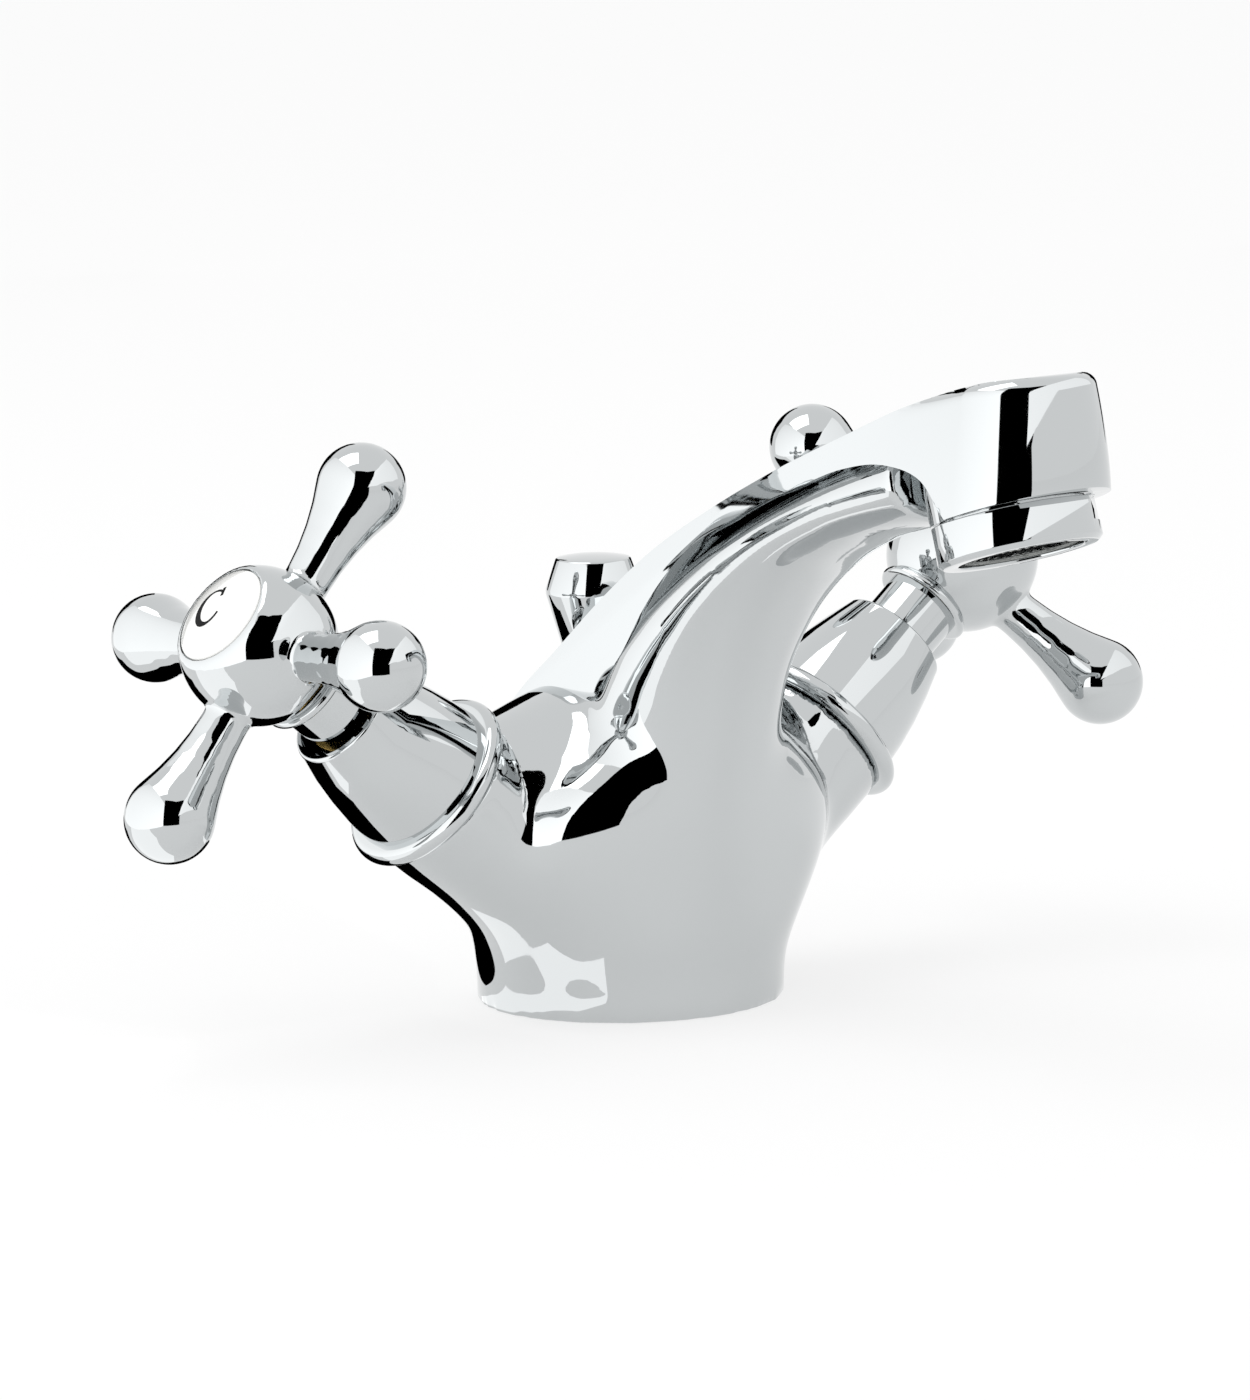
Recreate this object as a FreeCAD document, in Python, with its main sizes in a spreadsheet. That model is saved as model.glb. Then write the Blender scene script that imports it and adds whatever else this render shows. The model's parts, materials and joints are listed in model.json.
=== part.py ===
import FreeCAD, Part
import math
import os
import re
from FreeCAD import Placement, Rotation, Vector
from Sketcher import Constraint

# Two-handle basin mixer. Origin: centre of the base on the deck. +Z up, the spout reaches towards -Y,
# the cold handle is on the -X side and the hot handle on the +X side. Millimetres and degrees.
# Heights named *_height are measured up from the deck, and names that end in _along are measured
# along the axis of an arm, from the point where the two arm axes meet.

SIZES = [
    # Body casting
    ("base_radius", 24.7, "round foot on the deck"),
    ("base_edge", 1.2, "rounded lower edge of the foot"),
    ("base_straight_height", 5.0, "top of the plain cylinder"),
    ("arm_angle", 39.4, "rise of the arms"),
    ("arm_start_height", 7.4, "where the arm axes meet"),
    ("arm_radius", 13.3, "arm at the shroud"),
    ("arm_end_along", 48.2, "machined end face of an arm"),
    ("arm_swell_radius", 14.3, "arm where it leaves the foot"),
    ("arm_swell_along", 30.0, "place of that section"),
    ("shoulder_radius", 21.5, "section halfway from foot to arm"),
    ("shoulder_out", 5.5, "its centre, sideways"),
    ("shoulder_height", 18.0, "its centre, upwards"),
    ("shoulder_tilt", 20.0, "its lean"),
    # Spout
    ("hood_half_width", 13.1, "half the width of the hood"),
    ("hood_edge", 1.2, "rounded top edge of the hood"),
    ("spout_reach", 100.55, "outlet centre, in front of the foot's centre"),
    ("nose_forward", 2.5, "centre of the round nose, in front of the outlet"),
    ("outlet_height", 87.8, "outlet centre, head's underside"),
    ("outlet_tilt", 17.5, "outlet leans forward"),
    # Waterways
    ("cavity_radius", 19.0, "open space under the foot"),
    ("cavity_height", 10.0, "its roof"),
    ("inlet_radius", 4.55, "M10x1 tapped inlet, core"),
    ("inlet_side", 9.5, "inlets, sideways"),
    ("inlet_front", 3.0, "inlets, in front of the centre"),
    ("inlet_depth", 11.0, "threaded depth"),
    ("feed_radius", 2.8, "passage from inlet to seat"),
    ("waterway_radius", 4.0, "mixed water passage"),
    ("stud_radius", 3.4, "M8 tapped stud hole, core"),
    ("stud_front", 15.0, "stud hole, in front of the centre"),
    ("stud_depth", 14.0, "threaded depth"),
    # Valve chamber
    ("seat_along", 24.0, "floor of the valve chamber"),
    ("chamber_radius", 9.3, "lower chamber"),
    ("chamber_thread_along", 35.0, "start of the wide thread"),
    ("valve_thread_radius", 10.3, "G1/2 thread"),
    ("outlet_port_along", 36.0, "side port to the mixed passage"),
    # Running clearances
    ("fit_clearance", 0.05, "radial, sliding and turned fits"),
    ("body_gap", 0.3, "between faces of moving and fixed pieces"),
    # Base gasket
    ("gasket_cord_radius", 1.0, "O-ring under the foot"),
    ("gasket_mean_radius", 21.6, "its circle"),
    # Shroud
    ("shroud_bead_radius", 1.6, "section of the bead"),
    ("shroud_wide_radius", 13.4, "cone beside the bead"),
    ("shroud_narrow_radius", 9.2, "cone at the open end"),
    ("shroud_overlap", 4.3, "open end, beyond the lower end of the handle's neck"),
    ("shroud_wall", 1.1, "wall"),
    ("shroud_bulge_radius", 70.0, "the cone is slightly convex"),
    ("shroud_web_gap", 1.0, "threaded web, above the hexagon"),
    ("shroud_web_thick", 2.5, "its thickness"),
    # Headwork
    ("skirt_gap", 2.0, "under the cartridge skirt"),
    ("skirt_wall", 1.0, "wall of the skirt"),
    ("flange_radius", 11.4, "flange on the arm's end face"),
    ("flange_thick", 2.0, "its thickness"),
    ("hex_flats", 17.0, "spanner size"),
    ("hex_height", 6.3, "hexagon above the flange"),
    ("bonnet_neck_radius", 7.4, "threaded neck for the shroud"),
    ("bonnet_neck_length", 7.5, "its length"),
    ("disc_play", 0.2, "over the spindle's foot"),
    # Discs and seals
    ("seat_seal_thick", 3.0, "rubber under the fixed disc"),
    ("seat_seal_bore", 5.4, "its bore radius"),
    ("disc_thick", 3.0, "ceramic discs"),
    ("port_radius", 2.1, "ports of the discs"),
    ("port_offset", 4.3, "ports from the centre"),
    ("tongue_width", 3.6, "tongue of the spindle"),
    ("tongue_depth", 1.4, "its depth in the moving disc"),
    ("seal_cord_radius", 0.75, "small O-rings"),
    # Spindle
    ("spindle_radius", 4.9, "shaft in the headwork"),
    ("spindle_foot_thick", 3.2, "drive flange"),
    ("spline_radius", 4.0, "outer radius of the splined end"),
    ("spline_depth", 0.45, "depth of a spline"),
    ("spindle_seal_rise", 3.8, "O-ring groove, above the arm's end face"),
    ("clip_radius", 6.2, "retaining clip"),
    ("clip_thick", 1.0, "its thickness"),
    ("clip_room", 2.0, "between the headwork and the handle's neck"),
    ("screw_radius", 2.0, "M4 handle screw"),
    ("screw_length", 12.0, "under its head"),
    ("screw_head_radius", 3.5, "pan head"),
    ("screw_head_height", 2.6, "pan head"),
    ("screw_slot", 0.9, "driver slot"),
    # Cross handle
    ("lever_drop", 2.2, "centre of the cross, below the hub's widest place"),
    ("lever_reach", 30.55, "ball centres from the axis"),
    ("ball_radius", 7.1, "ball of a lever"),
    ("ball_join_angle", 70.0, "where the stem meets the ball"),
    ("stem_radius", 3.75, "thin root of a lever"),
    ("stem_start", 9.0, "root inside the hub"),
    ("stem_waist", 13.5, "thinnest place"),
    ("stem_curve_radius", 44.0, "concave stem"),
    ("hub_radius", 12.4, "belly of the hub"),
    ("hub_top_radius", 9.0, "rim round the index cap"),
    ("hub_crown_height", 8.3, "from the widest place up to that rim"),
    ("hub_belly_height", 10.4, "from the bead up to the widest place"),
    ("hub_waist_radius", 8.2, "bead under the belly"),
    ("hub_crown_radius", 12.5, "curve of the upper belly"),
    ("hub_belly_radius", 11.5, "curve of the lower belly"),
    ("hub_bead_thick", 1.6, "bead's thickness"),
    ("hub_neck_radius", 6.5, "neck in the shroud"),
    ("hub_neck_length", 13.2, "up to the top of the bead"),
    ("cold_phase", 2.6, "levers of the cold handle, from square"),
    ("hot_phase", 54.9, "levers of the hot handle, from square"),
    ("handle_wall", 3.2, "wall in the hub that the screw holds"),
    # Index cap
    ("cap_radius", 8.4, "disc of the cap"),
    ("cap_thick", 2.0, "its edge"),
    ("cap_dome", 2.4, "rise of its dome"),
    ("cap_plug_radius", 5.0, "plug in the hub"),
    ("cap_plug_length", 3.4, "its length"),
    ("cap_room", 2.9, "between the plug and the screw"),
    # Aerator
    ("nozzle_radius", 10.9, "M22 nozzle under the head"),
    ("nozzle_bore", 9.2, "its bore"),
    ("nozzle_length", 3.4, "below the head"),
    ("collar_radius", 12.5, "aerator housing"),
    ("collar_length", 6.6, "below the head"),
    ("collar_bevel", 0.7, "lower rim"),
    ("collar_opening", 9.5, "lower opening"),
    ("collar_ledge", 1.1, "ledge that holds the insert"),
    ("flat_wall", 0.65, "wall of the housing behind a spanner flat"),
    ("flat_height", 3.6, "spanner flats"),
    ("flat_phase", -45.0, "the flats, round the outlet"),
    ("washer_thick", 1.0, "rubber washer"),
    ("insert_depth", 5.0, "insert inside the nozzle"),
    ("mesh_thick", 0.5, "perforated plate"),
    ("mesh_hole_radius", 1.1, "holes of the plate"),
    ("mesh_pitch", 3.3, "between holes"),
    # Pop-up knob and rod
    ("rod_back", 7.65, "rod behind the foot's centre"),
    ("rod_radius", 2.5, "lift rod"),
    ("rod_foot_height", 3.0, "its lower end, waste closed"),
    ("well_radius", 6.2, "round well in the hood's back"),
    ("well_height", 51.0, "floor of the well"),
    ("bush_drop", 4.5, "top of the guide bush, below the well's floor"),
    ("bush_radius", 4.2, "guide bush"),
    ("bush_length", 14.0, "its length"),
    ("knob_crown_height", 5.4, "above its widest ring"),
    ("knob_top_radius", 6.0, "its flat top"),
    ("knob_wide_radius", 7.7, "its widest ring"),
    ("knob_flare_height", 12.6, "from its foot to the top of that ring"),
    ("knob_ring", 0.8, "height of that ring"),
    ("knob_foot_radius", 4.4, "its foot"),
    ("knob_gap", 1.6, "under the knob, waste closed"),
    ("knob_dome", 0.6, "crown of the top"),
]
# Places that follow from those sizes, each from the piece below it outwards.
FOLLOWING = [
    ("skirt_along", "=seat_along + skirt_gap", "lower end of the cartridge skirt"),
    ("disc_room_end_along", "=seat_along + seat_seal_thick + 2 * disc_thick + spindle_foot_thick + disc_play",
     "roof of the disc room"),
    ("spindle_seal_along", "=arm_end_along + spindle_seal_rise", "O-ring groove of the spindle"),
    ("hex_end_along", "=arm_end_along + flange_thick + hex_height", "top of the hexagon"),
    ("shroud_web_along", "=hex_end_along + shroud_web_gap", "threaded web of the shroud"),
    ("bonnet_end_along", "=hex_end_along + bonnet_neck_length", "top of the headwork"),
    ("hub_neck_along", "=bonnet_end_along + clip_room", "lower end of the handle"),
    ("shroud_end_along", "=hub_neck_along + shroud_overlap", "open end of the shroud"),
    ("hub_waist_along", "=hub_neck_along + hub_neck_length", "bead under the belly of the hub"),
    ("hub_shoulder_along", "=hub_waist_along + hub_belly_height", "widest place of the hub"),
    ("lever_plane_along", "=hub_shoulder_along - lever_drop", "centre of the cross"),
    ("hub_top_along", "=hub_shoulder_along + hub_crown_height", "rim round the index cap"),
    ("handle_seat_along", "=hub_top_along - cap_thick - cap_plug_length - cap_room - screw_head_height",
     "screw's seat in the hub"),
    ("spindle_end_along", "=handle_seat_along - handle_wall - body_gap", "top of the spindle"),
    ("bush_top_height", "=well_height - bush_drop", "top of the guide bush"),
    ("knob_foot_height", "=well_height + knob_gap", "lower end of the knob"),
    ("knob_wide_height", "=knob_foot_height + knob_flare_height", "upper edge of its widest ring"),
    ("knob_top_height", "=knob_wide_height + knob_crown_height", "top of the knob"),
]

document = FreeCAD.newDocument("BasinMixer")
sheet = document.addObject("Spreadsheet::Sheet", "Sizes")
for row, (alias, value, note) in enumerate(SIZES + FOLLOWING, start=1):
    sheet.set("A%d" % row, alias)
    sheet.set("B%d" % row, str(value))
    sheet.set("C%d" % row, note)
    sheet.setAlias("B%d" % row, alias)
document.recompute()

ALIASES = [alias for alias, value, note in SIZES + FOLLOWING]
WORD = re.compile(r"[a-z][a-z_0-9]*")
parts = []


def bind(text):
    """The same text with every size's name pointing at its cell of the sheet."""
    return WORD.sub(lambda found: "Sizes." + found.group() if found.group() in ALIASES else found.group(), text)


def size(text):
    """The number that a size, or a sum of sizes, has now."""
    return float(sheet.evalExpression(bind(text)))


def direction(elevation, side):
    """A unit vector that rises at an angle, towards one side."""
    angle = math.radians(elevation)
    return Vector(side * math.cos(angle), 0, math.sin(angle))


# How a turned or padded piece is made


def new_body(name):
    body = document.addObject("PartDesign::Body", "Body_" + name)
    body.Label = name
    parts.append(body)
    return body


def plane_of(body, role):
    return [feature for feature in body.Origin.OriginFeatures if feature.Role == role][0]


def sketch_outline(body, role, points, height=None):
    """A closed outline, every corner held by its two sizes. A third size is the radius of an arc to
    the next corner, which bulges to the right of the way round, or to the left with a minus sign."""
    sketch = body.newObject("Sketcher::SketchObject", body.Label + "_outline")
    sketch.AttachmentSupport = (plane_of(body, role), [""])
    sketch.MapMode = "FlatFace"
    if height:
        sketch.setExpression("AttachmentOffset.Base.z", bind(height))
    corners = [Vector(size(point[0]), size(point[1]), 0) for point in points]
    ends = []
    for place, point in enumerate(points):
        start = corners[place]
        end = corners[(place + 1) % len(corners)]
        if len(point) == 2:
            sketch.addGeometry(Part.LineSegment(start, end), False)
            ends.append((1, 2))
            continue
        radius = size(point[2])
        chord = end - start
        right = Vector(chord.y, -chord.x, 0).normalize()
        rise = abs(radius) - math.sqrt(radius ** 2 - (chord.Length / 2) ** 2)
        middle = (start + end) * 0.5 + right * math.copysign(rise, radius)
        sketch.addGeometry(Part.Arc(start, middle, end), False)
        ends.append((1, 2) if sketch.getPoint(place, 1).distanceToPoint(start) < chord.Length / 2 else (2, 1))
    for place, point in enumerate(points):
        before = (place - 1) % len(points)
        sketch.addConstraint(Constraint("Coincident", before, ends[before][1], place, ends[place][0]))
        hold_corner(sketch, "DistanceX", -2, place, ends[place][0], point[0], corners[place].x)
        hold_corner(sketch, "DistanceY", -1, place, ends[place][0], point[1], corners[place].y)
        if len(point) == 3:
            radius = sketch.addConstraint(Constraint("Radius", place, abs(size(point[2]))))
            sketch.setExpression("Constraints[%d]" % radius, bind(point[2].lstrip("-")))
    return sketch


def hold_corner(sketch, kind, axis, edge, end, text, value):
    """One corner at its distance from the sketch's origin, or on the axis where that is nothing."""
    if text == "0":
        sketch.addConstraint(Constraint("PointOnObject", edge, end, axis))
        return
    held = sketch.addConstraint(Constraint(kind, -1, 1, edge, end, value))
    sketch.setExpression("Constraints[%d]" % held, bind(text))


def turn(body, points):
    """Material turned round the body's own Z axis."""
    sketch = sketch_outline(body, "XZ_Plane", points)
    feature = body.newObject("PartDesign::Revolution", body.Label + "_turned")
    feature.Profile = sketch
    feature.ReferenceAxis = (sketch, ["V_Axis"])
    feature.Angle = 360
    document.recompute()
    return feature


def turned(name, points):
    body = new_body(name)
    turn(body, points)
    return body


def extrude(body, kind, points, height, length, upward):
    """A pad or pocket on a level plane of the body, from a height and upwards or downwards."""
    sketch = sketch_outline(body, "XY_Plane", points, height)
    feature = body.newObject("PartDesign::" + kind, body.Label + "_" + kind.lower())
    feature.Profile = sketch
    feature.setExpression("Length", bind(length))
    feature.Reversed = upward == (kind == "Pocket")
    document.recompute()
    return feature


def pad(body, points, height, length, upward=True):
    return extrude(body, "Pad", points, height, length, upward)


def pocket(body, points, height, length, upward=False):
    before = body.Shape.Volume
    feature = extrude(body, "Pocket", points, height, length, upward)
    if body.Shape.Volume > before * (1 - 1e-9):
        raise RuntimeError(body.Label + ": a pocket cut nothing")
    return feature


def ring(inner, outer, low, high):
    """The section of a plain ring."""
    return [(inner, low), (outer, low), (outer, high), (inner, high)]


def round_hole(body, across, back, radius, height, length, upward=True):
    """A round pocket, its centre at two sizes from the body's Z axis."""
    sketch = body.newObject("Sketcher::SketchObject", body.Label + "_circle")
    sketch.AttachmentSupport = (plane_of(body, "XY_Plane"), [""])
    sketch.MapMode = "FlatFace"
    sketch.setExpression("AttachmentOffset.Base.z", bind(height))
    centre = Vector(size(across), size(back), 0)
    sketch.addGeometry(Part.Circle(centre, Vector(0, 0, 1), size(radius)), False)
    hold_corner(sketch, "DistanceX", -2, 0, 3, across, centre.x)
    hold_corner(sketch, "DistanceY", -1, 0, 3, back, centre.y)
    held = sketch.addConstraint(Constraint("Radius", 0, size(radius)))
    sketch.setExpression("Constraints[%d]" % held, bind(radius))
    before = body.Shape.Volume
    feature = body.newObject("PartDesign::Pocket", body.Label + "_hole")
    feature.Profile = sketch
    feature.setExpression("Length", bind(length))
    feature.Reversed = upward
    document.recompute()
    if body.Shape.Volume > before * (1 - 1e-9):
        raise RuntimeError(body.Label + ": a hole cut nothing")


def repeat_about_axis(body, feature, count):
    """The same feature so many times round the body's own Z axis."""
    pattern = body.newObject("PartDesign::PolarPattern", feature.Label + "_pattern")
    pattern.Originals = [feature]
    pattern.Axis = (plane_of(body, "Z_Axis"), [""])
    pattern.Angle = 360
    pattern.Occurrences = count
    body.Tip = pattern
    document.recompute()


def rectangle(half_across, half_back):
    """A rectangle about the axis."""
    return [("-(%s)" % half_across, "-(%s)" % half_back), (half_across, "-(%s)" % half_back),
            (half_across, half_back), ("-(%s)" % half_across, half_back)]


def polygon(corners, radius, other_radius=None, phase="0"):
    """A regular polygon, or a toothed one whose corners lie on two circles in turn."""
    radii = [radius, other_radius or radius]
    step = 360.0 / corners
    return [("(%s) * cos(%g - %s)" % (radii[k % 2], k * step, phase),
             "(%s) * sin(%g - %s)" % (radii[k % 2], k * step, phase)) for k in range(corners)]


def o_ring(name, mean_radius, cord_radius):
    ring_shape = document.addObject("Part::Torus", name)
    ring_shape.Label = name
    ring_shape.setExpression("Radius1", bind(mean_radius))
    ring_shape.setExpression("Radius2", bind(cord_radius))
    parts.append(ring_shape)
    return ring_shape


# Where pieces lie


def place(piece, x, y, z, turns):
    """Puts a piece at three sizes, turned about named axes in the order given, the last one first."""
    axes = {"X": "1; 0; 0", "Y": "0; 1; 0", "Z": "0; 0; 1"}
    rotations = ["create(<<rotation>>; create(<<vector>>; %s); %s)" % (axes[axis], bind(angle))
                 for axis, angle in turns]
    position = "create(<<vector>>; %s; %s; %s)" % (bind(x), bind(y), bind(z))
    piece.setExpression("Placement", "create(<<placement>>; %s; %s)" % (position, " * ".join(rotations)))


def place_on_arm(piece, side, along="0", phase="0"):
    """The piece's own Z axis becomes the arm's axis. A side is 1 or -1."""
    place(piece, "%d * cos(arm_angle) * (%s)" % (side, along), "0",
          "arm_start_height + sin(arm_angle) * (%s)" % along,
          [("Y", "%d * (90 - arm_angle)" % side), ("Z", phase)])


def place_under_head(piece, phase="0"):
    """The piece's own Z axis points up into the head, from the centre of its underside."""
    place(piece, "0", "-spout_reach", "outlet_height", [("X", "-outlet_tilt"), ("Z", phase)])


# Shrouds: spun covers, each with a bead that rests on the arm and a web screwed to the headwork


def shroud(name, side):
    bead_centre = "shroud_wide_radius + shroud_bead_radius / 8"
    bead_top = "arm_end_along + 2 * shroud_bead_radius"
    web_top = "shroud_web_along + shroud_web_thick"
    body = turned(name, [
        ("flange_radius + body_gap", "arm_end_along"),
        (bead_centre, "arm_end_along", "shroud_bead_radius"),
        (bead_centre + " + shroud_bead_radius", "arm_end_along + shroud_bead_radius", "shroud_bead_radius"),
        (bead_centre, bead_top),
        ("shroud_wide_radius - shroud_wall / 2", bead_top, "shroud_bulge_radius"),
        ("shroud_narrow_radius", "shroud_end_along - shroud_wall / 2", "shroud_wall / 2"),
        ("shroud_narrow_radius - shroud_wall / 2", "shroud_end_along"),
        ("shroud_narrow_radius - shroud_wall", "shroud_end_along"),
        ("shroud_wide_radius - 3 * shroud_wall", web_top),
        ("bonnet_neck_radius + fit_clearance", web_top),
        ("bonnet_neck_radius + fit_clearance", "shroud_web_along"),
        ("shroud_wide_radius - 5 * shroud_wall / 2", "shroud_web_along"),
    ])
    place_on_arm(body, side)


# Headworks: brass bonnets with a skirt that holds the ceramic discs


def headwork(name, side):
    skirt_radius = "chamber_radius - 3 * fit_clearance"
    hex_start = "arm_end_along + flange_thick"
    groove_radius = "valve_thread_radius - 2 * seal_cord_radius - fit_clearance"
    groove_low = "arm_end_along - 4 * seal_cord_radius"
    groove_high = "arm_end_along - 2 * seal_cord_radius"
    body = turned(name, [
        ("0", "skirt_along"), (skirt_radius, "skirt_along"),
        (skirt_radius, "chamber_thread_along + body_gap"),
        ("valve_thread_radius", "chamber_thread_along + body_gap"),
        ("valve_thread_radius", groove_low), (groove_radius, groove_low),
        (groove_radius, groove_high), ("valve_thread_radius", groove_high),
        ("valve_thread_radius", "arm_end_along"), ("flange_radius", "arm_end_along"),
        ("flange_radius", hex_start), ("bonnet_neck_radius", hex_start),
        ("bonnet_neck_radius", "bonnet_end_along"), ("0", "bonnet_end_along"),
    ])
    pad(body, polygon(6, "hex_flats / sqrt(3)"), hex_start, "hex_end_along - (%s)" % hex_start)
    disc_room = "disc_room_end_along - skirt_along"
    round_hole(body, "0", "0", "spindle_radius + fit_clearance", "skirt_along", "bonnet_end_along - skirt_along")
    round_hole(body, "0", "0", skirt_radius + " - skirt_wall", "skirt_along", disc_room)
    for window in (rectangle("port_radius", "chamber_radius"), rectangle("chamber_radius", "port_radius")):
        pocket(body, window, disc_top(1), "2 * port_radius", upward=True)
    place_on_arm(body, side)


def disc_top(count):
    """The top of the seat seal and of so many ceramic discs on it."""
    return "seat_along + seat_seal_thick + %d * disc_thick" % count


def seat_seal(name, side):
    body = turned(name, ring("seat_seal_bore", "chamber_radius - skirt_wall - 6 * fit_clearance",
                             "seat_along", disc_top(0)))
    place_on_arm(body, side)


def ceramic_disc(name, side, moving):
    """Two round ports in each disc: they meet when the spindle has turned a quarter."""
    low, high = disc_top(int(moving)), disc_top(1 + int(moving))
    radius = "chamber_radius - skirt_wall - %d * fit_clearance" % (5 if moving else 4)
    body = turned(name, [("0", low), (radius, low), (radius, high), ("0", high)])
    for sign in ("", "-"):
        across, back = (sign + "port_offset", "0") if moving else ("0", sign + "port_offset")
        round_hole(body, across, back, "port_radius", low, "disc_thick")
    if moving:
        slot = rectangle("tongue_width / 2 + fit_clearance", "chamber_radius")
        pocket(body, slot, high, "tongue_depth + fit_clearance")
    place_on_arm(body, side)


# Spindles: a foot with a tongue for the moving disc, a sealed shaft and a splined end for the handle

CLIP_SEAT = "spindle_radius - clip_thick / 2"
SPLINES = 40


def spindle(name, side):
    foot_radius = "chamber_radius - skirt_wall - 5 * fit_clearance"
    foot_high = disc_top(2) + " + spindle_foot_thick"
    seal_floor = "spindle_radius - 2 * seal_cord_radius - fit_clearance"
    seal_low = "spindle_seal_along - seal_cord_radius - fit_clearance"
    seal_high = "spindle_seal_along + seal_cord_radius + fit_clearance"
    clip_low = "bonnet_end_along + body_gap - fit_clearance"
    clip_high = "bonnet_end_along + body_gap + clip_thick + fit_clearance"
    shaft_end = "hub_neck_along - body_gap"
    body = turned(name, [
        ("0", disc_top(2)), (foot_radius, disc_top(2)), (foot_radius, foot_high), ("spindle_radius", foot_high),
        ("spindle_radius", seal_low), (seal_floor, seal_low), (seal_floor, seal_high),
        ("spindle_radius", seal_high), ("spindle_radius", clip_low), (CLIP_SEAT, clip_low),
        (CLIP_SEAT, clip_high), ("spindle_radius", clip_high), ("spindle_radius", shaft_end),
        ("spline_radius - spline_depth", shaft_end), ("spline_radius - spline_depth", "spindle_end_along"),
        ("0", "spindle_end_along"),
    ])
    pad(body, rectangle("tongue_width / 2", "chamber_radius - 2 * skirt_wall"), disc_top(2), "tongue_depth",
        upward=False)
    pad(body, polygon(SPLINES, "spline_radius", "spline_radius - spline_depth"), "spindle_end_along",
        "spindle_end_along - (%s)" % shaft_end, upward=False)
    round_hole(body, "0", "0", "screw_radius + fit_clearance", "spindle_end_along",
               "screw_length", upward=False)
    place_on_arm(body, side)


def spindle_seal(name, side):
    seal = o_ring(name, "spindle_radius - seal_cord_radius", "seal_cord_radius")
    place_on_arm(seal, side, "spindle_seal_along")


def headwork_seal(name, side):
    seal = o_ring(name, "valve_thread_radius - seal_cord_radius", "seal_cord_radius")
    place_on_arm(seal, side, "arm_end_along - 3 * seal_cord_radius")


def retaining_clip(name, side):
    low = "bonnet_end_along + body_gap"
    body = turned(name, ring(CLIP_SEAT + " + fit_clearance", "clip_radius", low, low + " + clip_thick"))
    mouth = [("0", "-clip_thick"), ("clip_radius + clip_thick", "-clip_thick"),
             ("clip_radius + clip_thick", "clip_thick"), ("0", "clip_thick")]
    pocket(body, mouth, low + " + clip_thick", "clip_thick")
    place_on_arm(body, side)


# Cross handles: one casting each, four levers with ball ends round a hollow hub


def cross_handle(name, side, phase):
    cap_floor = "hub_top_along - cap_thick"
    bead_low = "hub_waist_along - hub_bead_thick"
    bead_root = "hub_waist_radius - hub_bead_thick / 2"
    body = turned(name, [
        ("screw_radius + body_gap", "hub_neck_along"), ("hub_neck_radius", "hub_neck_along"),
        ("hub_neck_radius", bead_low), (bead_root, bead_low, "hub_bead_thick / 2"),
        ("hub_waist_radius", "hub_waist_along - hub_bead_thick / 2", "hub_bead_thick / 2"),
        (bead_root, "hub_waist_along", "hub_belly_radius"),
        ("hub_radius", "hub_shoulder_along", "hub_crown_radius"),
        ("hub_top_radius", "hub_top_along"), ("cap_radius + fit_clearance", "hub_top_along"),
        ("cap_radius + fit_clearance", cap_floor), ("cap_plug_radius + fit_clearance", cap_floor),
        ("cap_plug_radius + fit_clearance", "handle_seat_along"),
        ("screw_radius + body_gap", "handle_seat_along"),
    ])
    ball_join_reach = "lever_reach - ball_radius * cos(ball_join_angle)"
    sketch = sketch_outline(body, "XZ_Plane", [
        ("stem_start", "0"), ("lever_reach + ball_radius", "0", "ball_radius"),
        (ball_join_reach, "ball_radius * sin(ball_join_angle)", "-stem_curve_radius"),
        ("stem_waist", "stem_radius"), ("stem_start", "stem_radius"),
    ])
    sketch.setExpression("AttachmentOffset.Base.y", bind("lever_plane_along"))
    lever = body.newObject("PartDesign::Revolution", name + "_lever")
    lever.Profile = sketch
    lever.ReferenceAxis = (sketch, ["H_Axis"])
    lever.Angle = 360
    document.recompute()
    repeat_about_axis(body, lever, 4)
    socket = polygon(SPLINES, "spline_radius + fit_clearance", "spline_radius - spline_depth + fit_clearance",
                     phase)
    pocket(body, socket, "hub_neck_along", "spindle_end_along + body_gap - hub_neck_along", upward=True)
    round_hole(body, "0", "0", "spindle_radius + fit_clearance", "hub_neck_along", "body_gap")
    place_on_arm(body, side, phase=phase)


def handle_screw(name, side):
    head_top = "handle_seat_along + screw_head_height"
    shank_end = "spindle_end_along - screw_length + screw_slot"
    body = turned(name, [
        ("0", shank_end), ("screw_radius", shank_end), ("screw_radius", "handle_seat_along"),
        ("screw_head_radius", "handle_seat_along"), ("screw_head_radius", head_top), ("0", head_top),
    ])
    pocket(body, rectangle("screw_slot / 2", "screw_head_radius + body_gap"), head_top, "screw_head_height / 2")
    place_on_arm(body, side)


def index_cap(name, side):
    """A white domed disc with a plug that snaps into the hub and hides the screw."""
    cap_floor = "hub_top_along - cap_thick"
    dome_radius = "(cap_radius ^ 2 + cap_dome ^ 2) / (2 * cap_dome)"
    body = turned(name, [
        ("0", cap_floor + " - cap_plug_length"), ("cap_plug_radius", cap_floor + " - cap_plug_length"),
        ("cap_plug_radius", cap_floor), ("cap_radius", cap_floor), ("cap_radius", "hub_top_along", dome_radius),
        ("0", "hub_top_along + cap_dome"),
    ])
    place_on_arm(body, side)


# Aerator: a housing screwed over the nozzle, a washer, an insert and a perforated plate


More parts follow.
